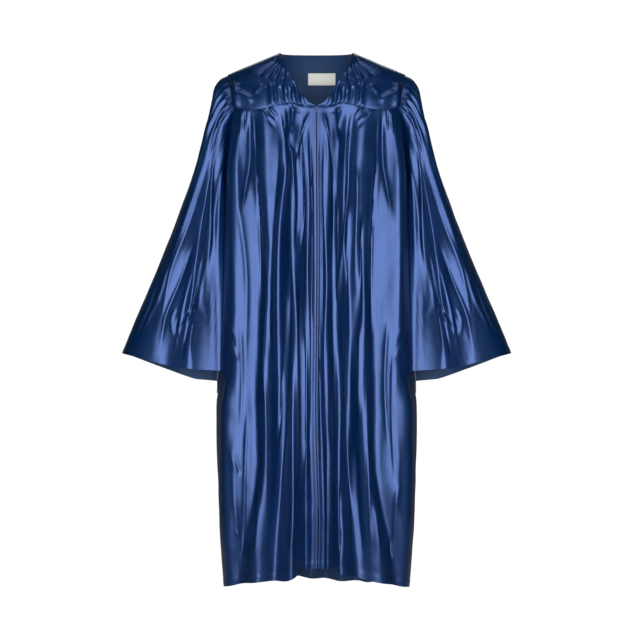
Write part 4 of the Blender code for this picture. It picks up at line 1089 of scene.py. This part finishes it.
def spaced(line, normal, pitch):
    """Evenly spaced points along a line, with their way along and their normal."""
    gone = np.concatenate([[0.0], np.cumsum(np.linalg.norm(np.diff(line, axis=0), axis=1))])
    at = np.arange(pitch / 2, gone[-1], pitch)

    def read(values, places):
        return np.stack([np.interp(places, gone, values[:, k]) for k in range(3)], axis=-1)

    spots = read(line, at)
    along = read(line, at + pitch / 4) - read(line, at - pitch / 4)
    along /= np.linalg.norm(along, axis=1, keepdims=True)
    up = read(normal, at)
    up /= np.linalg.norm(up, axis=1, keepdims=True)
    return spots, along, up


def stitch_run(line, normal):
    """Stitches along one line of the cloth, as centres, ways along and ways across."""
    trim = bpy.context.scene.gown_trim
    spots, along, up = spaced(line, normal, trim.stitch_pitch)
    return spots + up * (trim.thread * 0.2), along, np.cross(up, along)


def add_stitches(name, runs):
    """All the stitch runs of one piece of cloth."""
    trim = bpy.context.scene.gown_trim
    centres, along, across = (np.concatenate([run[k] for run in runs]) for k in range(3))
    size = (trim.stitch_pitch * 0.72, trim.thread, trim.thread)
    return add_bars(name, centres, along, across, size, "sewing_thread")


def line_at(points, normal, gone, distance):
    """The line on a grid that lies at one distance from its edge, row by row."""
    line, ways = [], []
    for row_points, row_normal, row in zip(points, normal, gone):
        line.append([np.interp(distance, row, row_points[:, k]) for k in range(3)])
        ways.append([np.interp(distance, row, row_normal[:, k]) for k in range(3)])
    return np.array(line), np.array(ways)


def seam_line(points, normal, distance):
    """The line that follows the top edge at a distance below it."""
    from_top, _ = lengths(points)
    return line_at(points.swapaxes(0, 1), normal.swapaxes(0, 1), from_top.T, distance)


def hem_line(points, normal, distance):
    """The line that follows the bottom edge at a distance above it."""
    return seam_line(points[::-1], normal[::-1], distance)


def side_line(points, normal, distance):
    """The line that follows the first column at a distance from it."""
    _, from_first = lengths(points)
    return line_at(points, normal, from_first, distance)


def new_material(name):
    """An empty material with its Principled shader, and ways to add and join nodes."""
    made = bpy.data.materials.new(name)
    made.use_nodes = True
    shader = made.node_tree.nodes["Principled BSDF"]
    return made, made.node_tree, shader


def set_inputs(node, **values):
    """Constants on a node's own sockets, by socket name with _ for a space."""
    for name, value in values.items():
        socket = node.inputs[name.replace("_", " ")]
        socket.default_value = (*value, 1.0) if isinstance(value, tuple) and len(value) == 3 and socket.type == "RGBA" else value


def grain_group():
    """Threads and streaks along the cloth's grain: a height, a streak and a mottle."""
    made = bpy.data.node_groups.get("cloth_grain")
    if made:
        return made
    made = bpy.data.node_groups.new("cloth_grain", "ShaderNodeTree")
    face = made.interface
    for name, kind, value in (
        ("Grain", "NodeSocketVector", None),
        ("Thread Pitch", "NodeSocketFloat", 0.0004),
        ("Streak Width", "NodeSocketFloat", 0.004),
        ("Streak Length", "NodeSocketFloat", 0.120),
        ("Thread Height", "NodeSocketFloat", 0.35),
    ):
        socket = face.new_socket(name=name, in_out="INPUT", socket_type=kind)
        if value is not None:
            socket.default_value = value
    for name in ("Height", "Streak", "Mottle"):
        face.new_socket(name=name, in_out="OUTPUT", socket_type="NodeSocketFloat")
    nodes, links = made.nodes, made.links
    entry, leave = nodes.new("NodeGroupInput"), nodes.new("NodeGroupOutput")

    def maths(kind, *inputs):
        node = nodes.new("ShaderNodeMath")
        node.operation = kind
        for socket, value in zip(node.inputs, inputs):
            if isinstance(value, (int, float)):
                socket.default_value = value
            else:
                links.new(value, socket)
        return node.outputs[0]

    parts = nodes.new("ShaderNodeSeparateXYZ")
    links.new(entry.outputs["Grain"], parts.inputs[0])

    def stretched_noise(width, length, detail):
        place = nodes.new("ShaderNodeCombineXYZ")
        links.new(maths("DIVIDE", parts.outputs["X"], width), place.inputs["X"])
        links.new(maths("DIVIDE", parts.outputs["Y"], length), place.inputs["Y"])
        noise = nodes.new("ShaderNodeTexNoise")
        noise.inputs["Scale"].default_value = 1.0
        noise.inputs["Detail"].default_value = detail
        links.new(place.outputs[0], noise.inputs["Vector"])
        return noise.outputs["Fac"]

    pitch = entry.outputs["Thread Pitch"]
    threads = stretched_noise(pitch, maths("MULTIPLY", pitch, 30.0), 1.0)
    wide = entry.outputs["Streak Width"]
    streak = stretched_noise(wide, entry.outputs["Streak Length"], 3.0)
    mottle = stretched_noise(maths("MULTIPLY", wide, 8.0), maths("MULTIPLY", wide, 14.0), 3.0)
    fine = maths("MULTIPLY", threads, entry.outputs["Thread Height"])
    links.new(maths("ADD", streak, fine), leave.inputs["Height"])
    links.new(streak, leave.inputs["Streak"])
    links.new(mottle, leave.inputs["Mottle"])
    return made


def cloth_material(name, dark, light, rough, bump, threads, streak, constants):
    """A woven cloth: colour, roughness and relief from the grain group."""
    made, tree, shader = new_material(name)
    nodes, links = tree.nodes, tree.links
    uv = nodes.new("ShaderNodeUVMap")
    uv.uv_map = "grain"
    grain = nodes.new("ShaderNodeGroup")
    grain.node_tree = grain_group()
    links.new(uv.outputs[0], grain.inputs["Grain"])
    grain.inputs["Thread Pitch"].default_value = threads[0]
    grain.inputs["Thread Height"].default_value = threads[1]
    grain.inputs["Streak Width"].default_value = streak[0]
    grain.inputs["Streak Length"].default_value = streak[1]

    tone = nodes.new("ShaderNodeMapRange")
    set_inputs(tone, From_Min=0.30, From_Max=0.70)
    links.new(grain.outputs["Mottle"], tone.inputs["Value"])
    colour = nodes.new("ShaderNodeMix")
    colour.data_type = "RGBA"
    colour.inputs["A"].default_value = (*dark, 1.0)
    colour.inputs["B"].default_value = (*light, 1.0)
    links.new(tone.outputs[0], colour.inputs["Factor"])
    links.new(colour.outputs["Result"], shader.inputs["Base Color"])

    gloss = nodes.new("ShaderNodeMapRange")
    set_inputs(gloss, From_Min=0.25, From_Max=0.75, To_Min=rough[0], To_Max=rough[1])
    links.new(grain.outputs["Streak"], gloss.inputs["Value"])
    links.new(gloss.outputs[0], shader.inputs["Roughness"])

    relief = nodes.new("ShaderNodeBump")
    relief.inputs["Strength"].default_value = bump[0]
    relief.inputs["Distance"].default_value = bump[1]
    links.new(grain.outputs["Height"], relief.inputs["Height"])
    links.new(relief.outputs[0], shader.inputs["Normal"])
    set_inputs(shader, **constants)
    return made


def metal_material(name, dark, light, rough, metallic):
    """Painted metal or plastic with fine scratches and rubbed spots."""
    made, tree, shader = new_material(name)
    nodes, links = tree.nodes, tree.links
    place = nodes.new("ShaderNodeTexCoord")
    noise = nodes.new("ShaderNodeTexNoise")
    set_inputs(noise, Scale=900.0, Detail=4.0)
    links.new(place.outputs["Object"], noise.inputs["Vector"])
    tone = nodes.new("ShaderNodeMix")
    tone.data_type = "RGBA"
    tone.inputs["A"].default_value = (*dark, 1.0)
    tone.inputs["B"].default_value = (*light, 1.0)
    links.new(noise.outputs["Fac"], tone.inputs["Factor"])
    links.new(tone.outputs["Result"], shader.inputs["Base Color"])
    gloss = nodes.new("ShaderNodeMapRange")
    set_inputs(gloss, From_Min=0.3, From_Max=0.7, To_Min=rough[0], To_Max=rough[1])
    links.new(noise.outputs["Fac"], gloss.inputs["Value"])
    links.new(gloss.outputs[0], shader.inputs["Roughness"])
    relief = nodes.new("ShaderNodeBump")
    set_inputs(relief, Strength=0.3, Distance=0.0001)
    links.new(noise.outputs["Fac"], relief.inputs["Height"])
    links.new(relief.outputs[0], shader.inputs["Normal"])
    set_inputs(shader, Metallic=metallic)
    return made


def build_material(name):
    cloth, trim = bpy.context.scene.gown_cloth, bpy.context.scene.gown_trim

    def shade(colour, share):
        return tuple(part * share for part in colour)

    if name == "satin_face":
        return cloth_material(
            name,
            shade(cloth.satin, 0.80),
            shade(cloth.satin, 1.20),
            (cloth.roughness - 0.04, cloth.roughness + 0.05),
            (0.35, 0.0006),
            (0.0005, 0.35),
            (0.0045, 0.110),
            {"IOR": cloth.gloss_index, "Specular_IOR_Level": 1.0, "Specular_Tint": tuple(cloth.gloss_tint)},
        )
    if name == "satin_back":
        return cloth_material(
            name,
            shade(cloth.inside, 0.85),
            shade(cloth.inside, 1.15),
            (0.60, 0.75),
            (0.25, 0.0004),
            (0.0005, 0.50),
            (0.0060, 0.100),
            {"Specular_IOR_Level": 0.35, "Sheen_Weight": 0.15, "Sheen_Roughness": 0.5},
        )
    if name == "tape_weave":
        return cloth_material(
            name,
            shade(trim.tape, 0.7),
            shade(trim.tape, 1.3),
            (0.70, 0.85),
            (0.6, 0.0003),
            (0.0006, 1.0),
            (0.0012, 0.004),
            {"Specular_IOR_Level": 0.3},
        )
    if name == "label_weave":
        return cloth_material(
            name,
            shade(trim.label, 0.93),
            trim.label,
            (0.75, 0.88),
            (0.5, 0.0002),
            (0.0005, 1.0),
            (0.0009, 0.006),
            {"Specular_IOR_Level": 0.3, "Sheen_Weight": 0.1},
        )
    if name == "sewing_thread":
        return metal_material(name, shade(trim.thread_colour, 0.8), shade(trim.thread_colour, 1.3), (0.45, 0.6), 0.0)
    if name == "coil_nylon":
        return metal_material(name, shade(trim.coil, 0.8), shade(trim.coil, 1.3), (0.35, 0.5), 0.0)
    if name == "slider_lacquer":
        return metal_material(name, shade(trim.metal, 0.7), shade(trim.metal, 1.4), (0.28, 0.42), 0.75)
    raise ValueError(f"there is no material named {name}")


def material(name):
    """One of the gown's materials, made once."""
    return bpy.data.materials.get(name) or build_material(name)


def place_panels(name):
    """Points, relief and grain of a front panel."""
    surface = front_surface(name)
    points = panel_grid(surface, FRONT_COLUMNS, FRONT_ROWS)
    seed = 11 if name == "left" else 23
    relief, grain = body_relief(points, FRONT_CREASES[name], seed, zip_side=True, mirror=SIDE[name])
    return points, relief, grain


def colour_setting(name, description, default):
    return bpy.props.FloatVectorProperty(
        name=name, description=description, subtype="COLOR", size=3, min=0.0, max=1.0, default=default
    )


def length_setting(name, description, default):
    return bpy.props.FloatProperty(
        name=name, description=description, unit="LENGTH", min=0.0, precision=5, default=default
    )


class GownClothSettings(bpy.types.PropertyGroup):
    """Sizes and colours of the satin."""

    satin: colour_setting("Satin", "Colour of the satin's face", (0.0001, 0.0090, 0.0380))
    gloss_tint: colour_setting("Gloss tint", "Tint of the satin's gloss", (0.27, 0.42, 1.00))
    inside: colour_setting("Inside", "Colour of the satin's matt back", (0.0004, 0.0240, 0.0860))
    thickness: length_setting("Thickness", "Thickness of the cloth", 0.0007)
    roughness: bpy.props.FloatProperty(
        name="Roughness", description="Roughness of the satin", subtype="FACTOR", min=0.0, max=1.0, default=0.32
    )
    gloss_index: bpy.props.FloatProperty(
        name="Gloss index", description="Index of refraction of the satin's gloss", min=1.0, max=4.0, default=1.5
    )


class GownTrimSettings(bpy.types.PropertyGroup):
    """Sizes and colours of the sewing, the zip and the label."""

    thread_colour: colour_setting("Thread", "Colour of the thread", (0.012, 0.030, 0.110))
    tape: colour_setting("Tape", "Colour of the zip tape", (0.010, 0.022, 0.080))
    coil: colour_setting("Coil", "Colour of the zip's coil", (0.018, 0.016, 0.050))
    metal: colour_setting("Slider", "Colour of the slider and pull tab", (0.012, 0.020, 0.070))
    label: colour_setting("Label", "Colour of the label", (0.660, 0.660, 0.620))
    thread: length_setting("Thread thickness", "Thickness of the thread", 0.0004)
    stitch_pitch: length_setting("Stitch pitch", "Distance from stitch to stitch", 0.0032)
    tooth_pitch: length_setting("Tooth pitch", "Distance from tooth to tooth of the zip", 0.0015)


class GownStageSettings(bpy.types.PropertyGroup):
    """The floor, the backdrop and the lights."""

    floor: colour_setting("Floor", "Colour of floor and backdrop", (0.45, 0.45, 0.45))
    key: bpy.props.FloatProperty(
        name="Key light", description="Power of the soft light in front", unit="POWER", min=0.0, default=138.0
    )
    side: bpy.props.FloatProperty(
        name="Side lights", description="Power of each side light", unit="POWER", min=0.0, default=3.0
    )
    top: bpy.props.FloatProperty(
        name="Top light", description="Power of the light above", unit="POWER", min=0.0, default=13.0
    )
    back: bpy.props.FloatProperty(
        name="Back light", description="Power of the light behind", unit="POWER", min=0.0, default=22.0
    )
    glow: bpy.props.FloatProperty(
        name="Paper glow", description="How bright the paper looks", min=0.0, default=1.05
    )
    fill: bpy.props.FloatProperty(
        name="Fill", description="Strength of the surrounding light", subtype="FACTOR", min=0.0, default=0.06
    )


class GOWN_OT_fronts(bpy.types.Operator):
    """Makes both front panels with their pleats, creases and topstitching."""

    bl_idname = "gown.fronts"
    bl_label = "Front panels"

    def execute(self, context):
        for name in SIDE:
            points, relief, grain = place_panels(name)
            piece, outer, normal = add_cloth(
                f"front_{name}_satin", f"front_{name}", points, relief, grain
            )
            runs = [
                stitch_run(*side_line(outer, normal, STITCH_LINES["zip"])),
                stitch_run(*hem_line(outer, normal, STITCH_LINES["hem"])),
            ]
            add_stitches(f"front_{name}_stitches", runs)
        return {"FINISHED"}


class GOWN_OT_back(bpy.types.Operator):
    """Makes the back panel with its pleats, creases and hem."""

    bl_idname = "gown.back"
    bl_label = "Back panel"

    def execute(self, context):
        points = panel_grid(back_surface(), BACK_COLUMNS, BACK_ROWS)
        relief, grain = body_relief(points, BACK_CREASES, 37)
        piece, outer, normal = add_cloth("back_satin", "back", points, relief, grain)
        add_stitches("back_stitches", [stitch_run(*hem_line(outer, normal, STITCH_LINES["hem"]))])
        return {"FINISHED"}


class GOWN_OT_yokes(bpy.types.Operator):
    """Makes the front yokes and the back yoke, with the folds that fan out from the neck."""

    bl_idname = "gown.yokes"
    bl_label = "Yokes"

    def execute(self, context):
        ways = np.linspace(0.0, 1.0, YOKE_ROWS + 1)
        for name, side in SIDE.items():
            place, way = np.meshgrid(np.linspace(0.0, 1.0, YOKE_COLUMNS + 1), ways)
            points = front_yoke_surface(name)(place, way)
            seed = 53 if name == "left" else 59
            relief, grain = soft_yoke(points, YOKE_CREASES, seed, side)
            piece, outer, normal = add_cloth(
                f"yoke_front_{name}_satin", f"yoke_front_{name}", points, relief, grain
            )
            runs = [
                stitch_run(*hem_line(outer, normal, STITCH_LINES["seam"])),
                stitch_run(*side_line(outer, normal, STITCH_LINES["seam"])),
            ]
            add_stitches(f"yoke_front_{name}_stitches", runs)
        neck = NECK_HALF / SHOULDER_HALF
        bounds = (-1.0, -neck, neck, 1.0)
        shares = [
            np.linspace(low, high, count + 1)[: count + (high == 1.0)]
            for low, high, count in zip(bounds, bounds[1:], BACK_YOKE_COLUMNS)
        ]
        share, way = np.meshgrid(np.concatenate(shares), ways)
        points = back_yoke_surface()(share, way)
        both = [
            (width, height, *((x * side, z) for x, z in spots))
            for width, height, *spots in BACK_YOKE_CREASES
            for side in SIDE.values()
        ]
        relief, grain = soft_yoke(points, both, 61)
        around = np.hypot(
            (points[..., 0] - LABEL_CENTRE[0]) / LABEL_CALM[0], (-points[..., 2] - LABEL_CENTRE[1]) / LABEL_CALM[1]
        )
        relief = relief * eased((around - 1.0) / 0.4)
        piece, outer, normal = add_cloth("yoke_back_satin", "yoke_back", points, relief, grain)
        add_stitches("yoke_back_stitches", [stitch_run(*hem_line(outer, normal, STITCH_LINES["seam"]))])
        return {"FINISHED"}


class GOWN_OT_sleeves(bpy.types.Operator):
    """Makes both bell sleeves, gathered into the armholes."""

    bl_idname = "gown.sleeves"
    bl_label = "Sleeves"

    def execute(self, context):
        for name, side in SIDE.items():
            points, share, full, gathers, wrap = sleeve_points(name)
            closed = np.concatenate([points, points[:, :1]], axis=1)
            from_top, around = lengths(closed)
            grain = np.stack([around, -from_top], axis=-1)
            from_top, around = from_top[:, :-1], around[:, :-1]
            across, drop = points[..., 0] * side, -points[..., 2]
            front = (np.sin(full) >= 0)[None, :]
            creases = np.where(
                front,
                crease_heights(across, drop, SLEEVE_CREASES_FRONT),
                crease_heights(across, drop, SLEEVE_CREASES_BACK),
            )
            edges = np.sin(full)[None, :] ** 2
            rows = np.linspace(0.0, 1.0, SLEEVE_ROWS + 1)[:, None]
            rise = np.minimum(
                eased(rows / GATHER_FULL), 1.0 - eased((rows - GATHER_FULL) / (GATHER_END - GATHER_FULL))
            )
            fine = ripples(around, from_top, 71 if name == "left" else 83)
            near_body = 1.0 - share[None, :] ** 6
            relief = (creases * eased(edges / 0.3) + fine * near_body) * eased(from_top / 0.012)
            relief = relief + sleeve_folds(share, full) + GATHER_HEIGHT * rise * gathers[None, :]
            puff = eased(from_top / PUFF_TOP) * (1.0 - eased((from_top - PUFF_TOP) / (PUFF_END - PUFF_TOP)))
            relief = relief + SLEEVE_PUFF * puff * (1.0 - share[None, :] ** 2) + 1.3 * seam_dip(from_top)
            relief = relief * (1.0 - 0.8 * wrap)
            lowest = -SLEEVE_DIP[0] - SLEEVE_DIP[1] * (1.0 - eased((share - 0.66) / 0.16))
            relief = np.maximum(relief, lowest) + hem_relief(from_top[-1] - from_top)
            piece, outer, normal = add_cloth(
                f"sleeve_{name}_satin", f"sleeve_{name}", points, relief, grain, ring=True
            )
            line, ways = hem_line(outer, normal, STITCH_LINES["hem"])
            closed_line, closed_ways = np.concatenate([line, line[:1]]), np.concatenate([ways, ways[:1]])
            add_stitches(f"sleeve_{name}_stitches", [stitch_run(closed_line, closed_ways)])
        return {"FINISHED"}


class GOWN_OT_zip(bpy.types.Operator):
    """Makes the zip's tapes and its two rows of teeth, and finishes the slider and pull tab."""

    bl_idname = "gown.zip"
    bl_label = "Zip"

    def execute(self, context):
        cloth, trim = context.scene.gown_cloth, context.scene.gown_trim
        edges = {}
        for name, side in SIDE.items():
            points = panel_grid(front_surface(name), FRONT_COLUMNS[:1], FRONT_ROWS)
            normal = facing_out(points, grid_normals(points))
            drop = -points[:, 0, 2]
            ends = drop[0] + (drop[-1] - drop[0]) * np.array([0.002, ZIP_END_SHARE])
            rows = (drop >= ends[0]) & (drop <= ends[1])
            depth = SOLID_CLOTH + TAPE_CLEAR
            lain = points[rows] - depth * normal[rows]
            from_top, from_first = lengths(lain)
            grain = np.stack([from_first, -from_top], axis=-1)
            add_cloth(
                f"zip_tape_{name}_weave",
                f"zip_tape_{name}",
                lain,
                np.zeros(lain.shape[:2]),
                grain,
                slot="zip_tape",
                thick=TAPE_THICK,
            )
            edges[name] = points[rows, 0], normal[rows, 0]
        line = (edges["left"][0] + edges["right"][0]) / 2
        normal = edges["left"][1] + edges["right"][1]
        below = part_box("zip_slider")[0].z
        kept = line[:, 2] < below
        spots, along, up = spaced(line[kept], normal[kept], trim.tooth_pitch)
        sideways = np.cross(along, up)
        sideways *= np.sign(sideways[:, :1])
        for name, side in SIDE.items():
            shift = 0.0 if side < 0 else 0.5
            centres = spots + along * (shift * trim.tooth_pitch) + sideways * (side * 0.0005)
            centres = centres - up * (SOLID_CLOTH * 0.9)
            size = (0.0019, trim.tooth_pitch * 0.42, 0.0013)
            add_bars(f"zip_teeth_{name}", centres, sideways, along, size, "coil_nylon")
        for node in ("zip_slider", "zip_pull"):
            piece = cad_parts[node]
            for place in piece.material_slots:
                place.material = material("slider_lacquer")
        return {"FINISHED"}


class GOWN_OT_label(bpy.types.Operator):
    """Makes the bare label inside the back yoke, and its stitches."""

    bl_idname = "gown.label"
    bl_label = "Label"

    def execute(self, context):
        width, height, _ = CUTS["size_label"]
        place, way = np.meshgrid(
            np.linspace(0.0, 1.0, LABEL_CELLS[0] + 1), np.linspace(0.0, 1.0, LABEL_CELLS[1] + 1)
        )
        across = LABEL_CENTRE[0] + (place - 0.5) * width
        drop = LABEL_CENTRE[1] + (way - 0.5) * height
        drop = drop + LABEL_FRAY * np.sin(across * 2100.0) * (np.abs(way - 0.5) > 0.49)
        ridge, seam_drop = shoulder_rise(across), table(BACK_SEAM, np.abs(across))
        turn = np.arccos(1.0 - (ridge + drop) / (ridge + seam_drop))
        points = yoke_point(across, turn, BACK)
        normal = facing_out(points, grid_normals(points))
        from_top, from_first = lengths(points)
        curl = 0.0006 * way**2 + 0.0004 * np.sin(place * 5.0) * way
        lain = points - (SOLID_CLOTH + LABEL_CLEAR + curl[..., None]) * normal
        grain = np.stack([from_first, -from_top], axis=-1)
        piece, outer, ways = add_cloth(
            "size_label_cloth",
            "size_label",
            lain,
            np.zeros(lain.shape[:2]),
            grain,
            slot="label_cloth",
            thick=LABEL_THICK,
        )
        inner = outer - LABEL_THICK * ways
        runs = [stitch_run(*seam_line(inner, -ways, 0.0016)), stitch_run(*hem_line(inner, -ways, 0.0016))]
        add_stitches("size_label_stitches", runs)
        return {"FINISHED"}


class GOWN_OT_stage(bpy.types.Operator):
    """Makes the floor and backdrop, the soft lights and the camera."""

    bl_idname = "gown.stage"
    bl_label = "Stage"

    def execute(self, context):
        stage = context.scene.gown_stage
        self.add_sweep(stage)
        middle = Vector((0.0, 0.0, -0.55))
        for name, turn, lift, size, power in (
            ("key_light", 0.0, 0.0, (2.4, 2.4), stage.key),
            ("side_light_left", -54.0, 0.0, (1.5, 2.4), stage.side),
            ("side_light_right", 54.0, 0.0, (1.5, 2.4), stage.side),
            ("top_light", 0.0, 72.0, (1.6, 0.9), stage.top),
            ("back_light", 180.0, 20.0, (1.6, 2.4), stage.back),
        ):
            turn, lift = math.radians(turn), math.radians(lift)
            flat = Vector((math.sin(turn), -math.cos(turn), 0.0)) * math.cos(lift)
            way = flat + Vector((0.0, 0.0, math.sin(lift)))
            self.add_light(name, middle + way * 2.6, middle, size, power)
        self.add_world(stage)
        camera = bpy.data.cameras.new("camera")
        camera.lens = CAMERA_LENS
        place = bpy.data.objects.new("camera", camera)
        context.scene.collection.objects.link(place)
        place.location = CAMERA_PLACE
        place.rotation_euler = (math.pi / 2, 0.0, 0.0)
        context.scene.camera = place
        context.scene.view_settings.view_transform = "Standard"
        return {"FINISHED"}

    def add_sweep(self, stage):
        """One sheet of paper that is the floor and rises behind in a wide curve."""
        radius, wall, near, half = 1.6, 4.2, -6.0, 7.0
        bend = np.linspace(0.0, math.pi / 2, 24)
        ahead = np.concatenate([[near], wall - radius + radius * np.sin(bend), [wall]])
        height = np.concatenate([[0.0], radius - radius * np.cos(bend), [5.0]]) - FLOOR_DROP
        points = [(x, y, z) for y, z in zip(ahead, height) for x in (-half, half)]
        faces = [(2 * k, 2 * k + 1, 2 * k + 3, 2 * k + 2) for k in range(len(ahead) - 1)]
        mesh = bpy.data.meshes.new("studio_sweep")
        mesh.from_pydata(points, [], faces)
        mesh.shade_smooth()
        mesh.materials.append(self.paper(stage))
        sweep = bpy.data.objects.new("studio_sweep", mesh)
        bpy.context.scene.collection.objects.link(sweep)

    def paper(self, stage):
        """White paper that is lit from within for the eye, and throws back little light."""
        made, tree, shader = new_material("studio_paper")
        set_inputs(shader, Base_Color=tuple(stage.floor), Roughness=0.9)
        glow = tree.nodes.new("ShaderNodeEmission")
        glow.inputs["Strength"].default_value = stage.glow
        path = tree.nodes.new("ShaderNodeLightPath")
        mix = tree.nodes.new("ShaderNodeMixShader")
        tree.links.new(path.outputs["Is Camera Ray"], mix.inputs[0])
        tree.links.new(shader.outputs[0], mix.inputs[1])
        tree.links.new(glow.outputs[0], mix.inputs[2])
        tree.links.new(mix.outputs[0], tree.nodes["Material Output"].inputs["Surface"])
        return made

    def add_light(self, name, place, target, size, power):
        light = bpy.data.lights.new(name, "AREA")
        light.shape = "RECTANGLE"
        light.size, light.size_y = size
        light.energy = power
        lamp = bpy.data.objects.new(name, light)
        bpy.context.scene.collection.objects.link(lamp)
        lamp.visible_camera = False
        lamp.location = place
        lamp.rotation_euler = (Vector(target) - Vector(place)).to_track_quat("-Z", "Y").to_euler()

    def add_world(self, stage):
        world = bpy.data.worlds.new("studio")
        world.use_nodes = True
        tree = world.node_tree
        shade = tree.nodes["Background"]
        shade.inputs["Color"].default_value = (0.35, 0.75, 1.0, 1.0)
        shade.inputs["Strength"].default_value = stage.fill
        white = tree.nodes.new("ShaderNodeBackground")
        white.inputs["Color"].default_value = (1.0, 1.0, 1.0, 1.0)
        white.inputs["Strength"].default_value = stage.glow
        path = tree.nodes.new("ShaderNodeLightPath")
        mix = tree.nodes.new("ShaderNodeMixShader")
        tree.links.new(path.outputs["Is Camera Ray"], mix.inputs[0])
        tree.links.new(shade.outputs[0], mix.inputs[1])
        tree.links.new(white.outputs[0], mix.inputs[2])
        tree.links.new(mix.outputs[0], tree.nodes["World Output"].inputs["Surface"])
        bpy.context.scene.world = world


class GOWN_PT_panel(bpy.types.Panel):
    """Lists the gown's pieces and settings."""

    bl_idname = "GOWN_PT_panel"
    bl_label = "Gown"
    bl_space_type = "VIEW_3D"
    bl_region_type = "UI"
    bl_category = "Gown"

    def draw(self, context):
        layout = self.layout
        for operator in OPERATORS:
            layout.operator(operator.bl_idname)
        for group in SETTINGS:
            settings = getattr(context.scene, group)
            for name in settings.bl_rna.properties.keys():
                if name not in ("rna_type", "name"):
                    layout.prop(settings, name)


SETTINGS = {
    "gown_cloth": GownClothSettings,
    "gown_trim": GownTrimSettings,
    "gown_stage": GownStageSettings,
}
OPERATORS = (
    GOWN_OT_fronts,
    GOWN_OT_back,
    GOWN_OT_yokes,
    GOWN_OT_sleeves,
    GOWN_OT_zip,
    GOWN_OT_label,
    GOWN_OT_stage,
)


def register():
    for kind in (*SETTINGS.values(), *OPERATORS, GOWN_PT_panel):
        bpy.utils.register_class(kind)
    for name, kind in SETTINGS.items():
        setattr(bpy.types.Scene, name, bpy.props.PointerProperty(type=kind))


def unregister():
    for name in SETTINGS:
        delattr(bpy.types.Scene, name)
    for kind in reversed((*SETTINGS.values(), *OPERATORS, GOWN_PT_panel)):
        bpy.utils.unregister_class(kind)


def main():
    register()
    for operator in OPERATORS:
        group, name = operator.bl_idname.split(".")
        getattr(getattr(bpy.ops, group), name)()


if __name__ == "__main__":
    main()
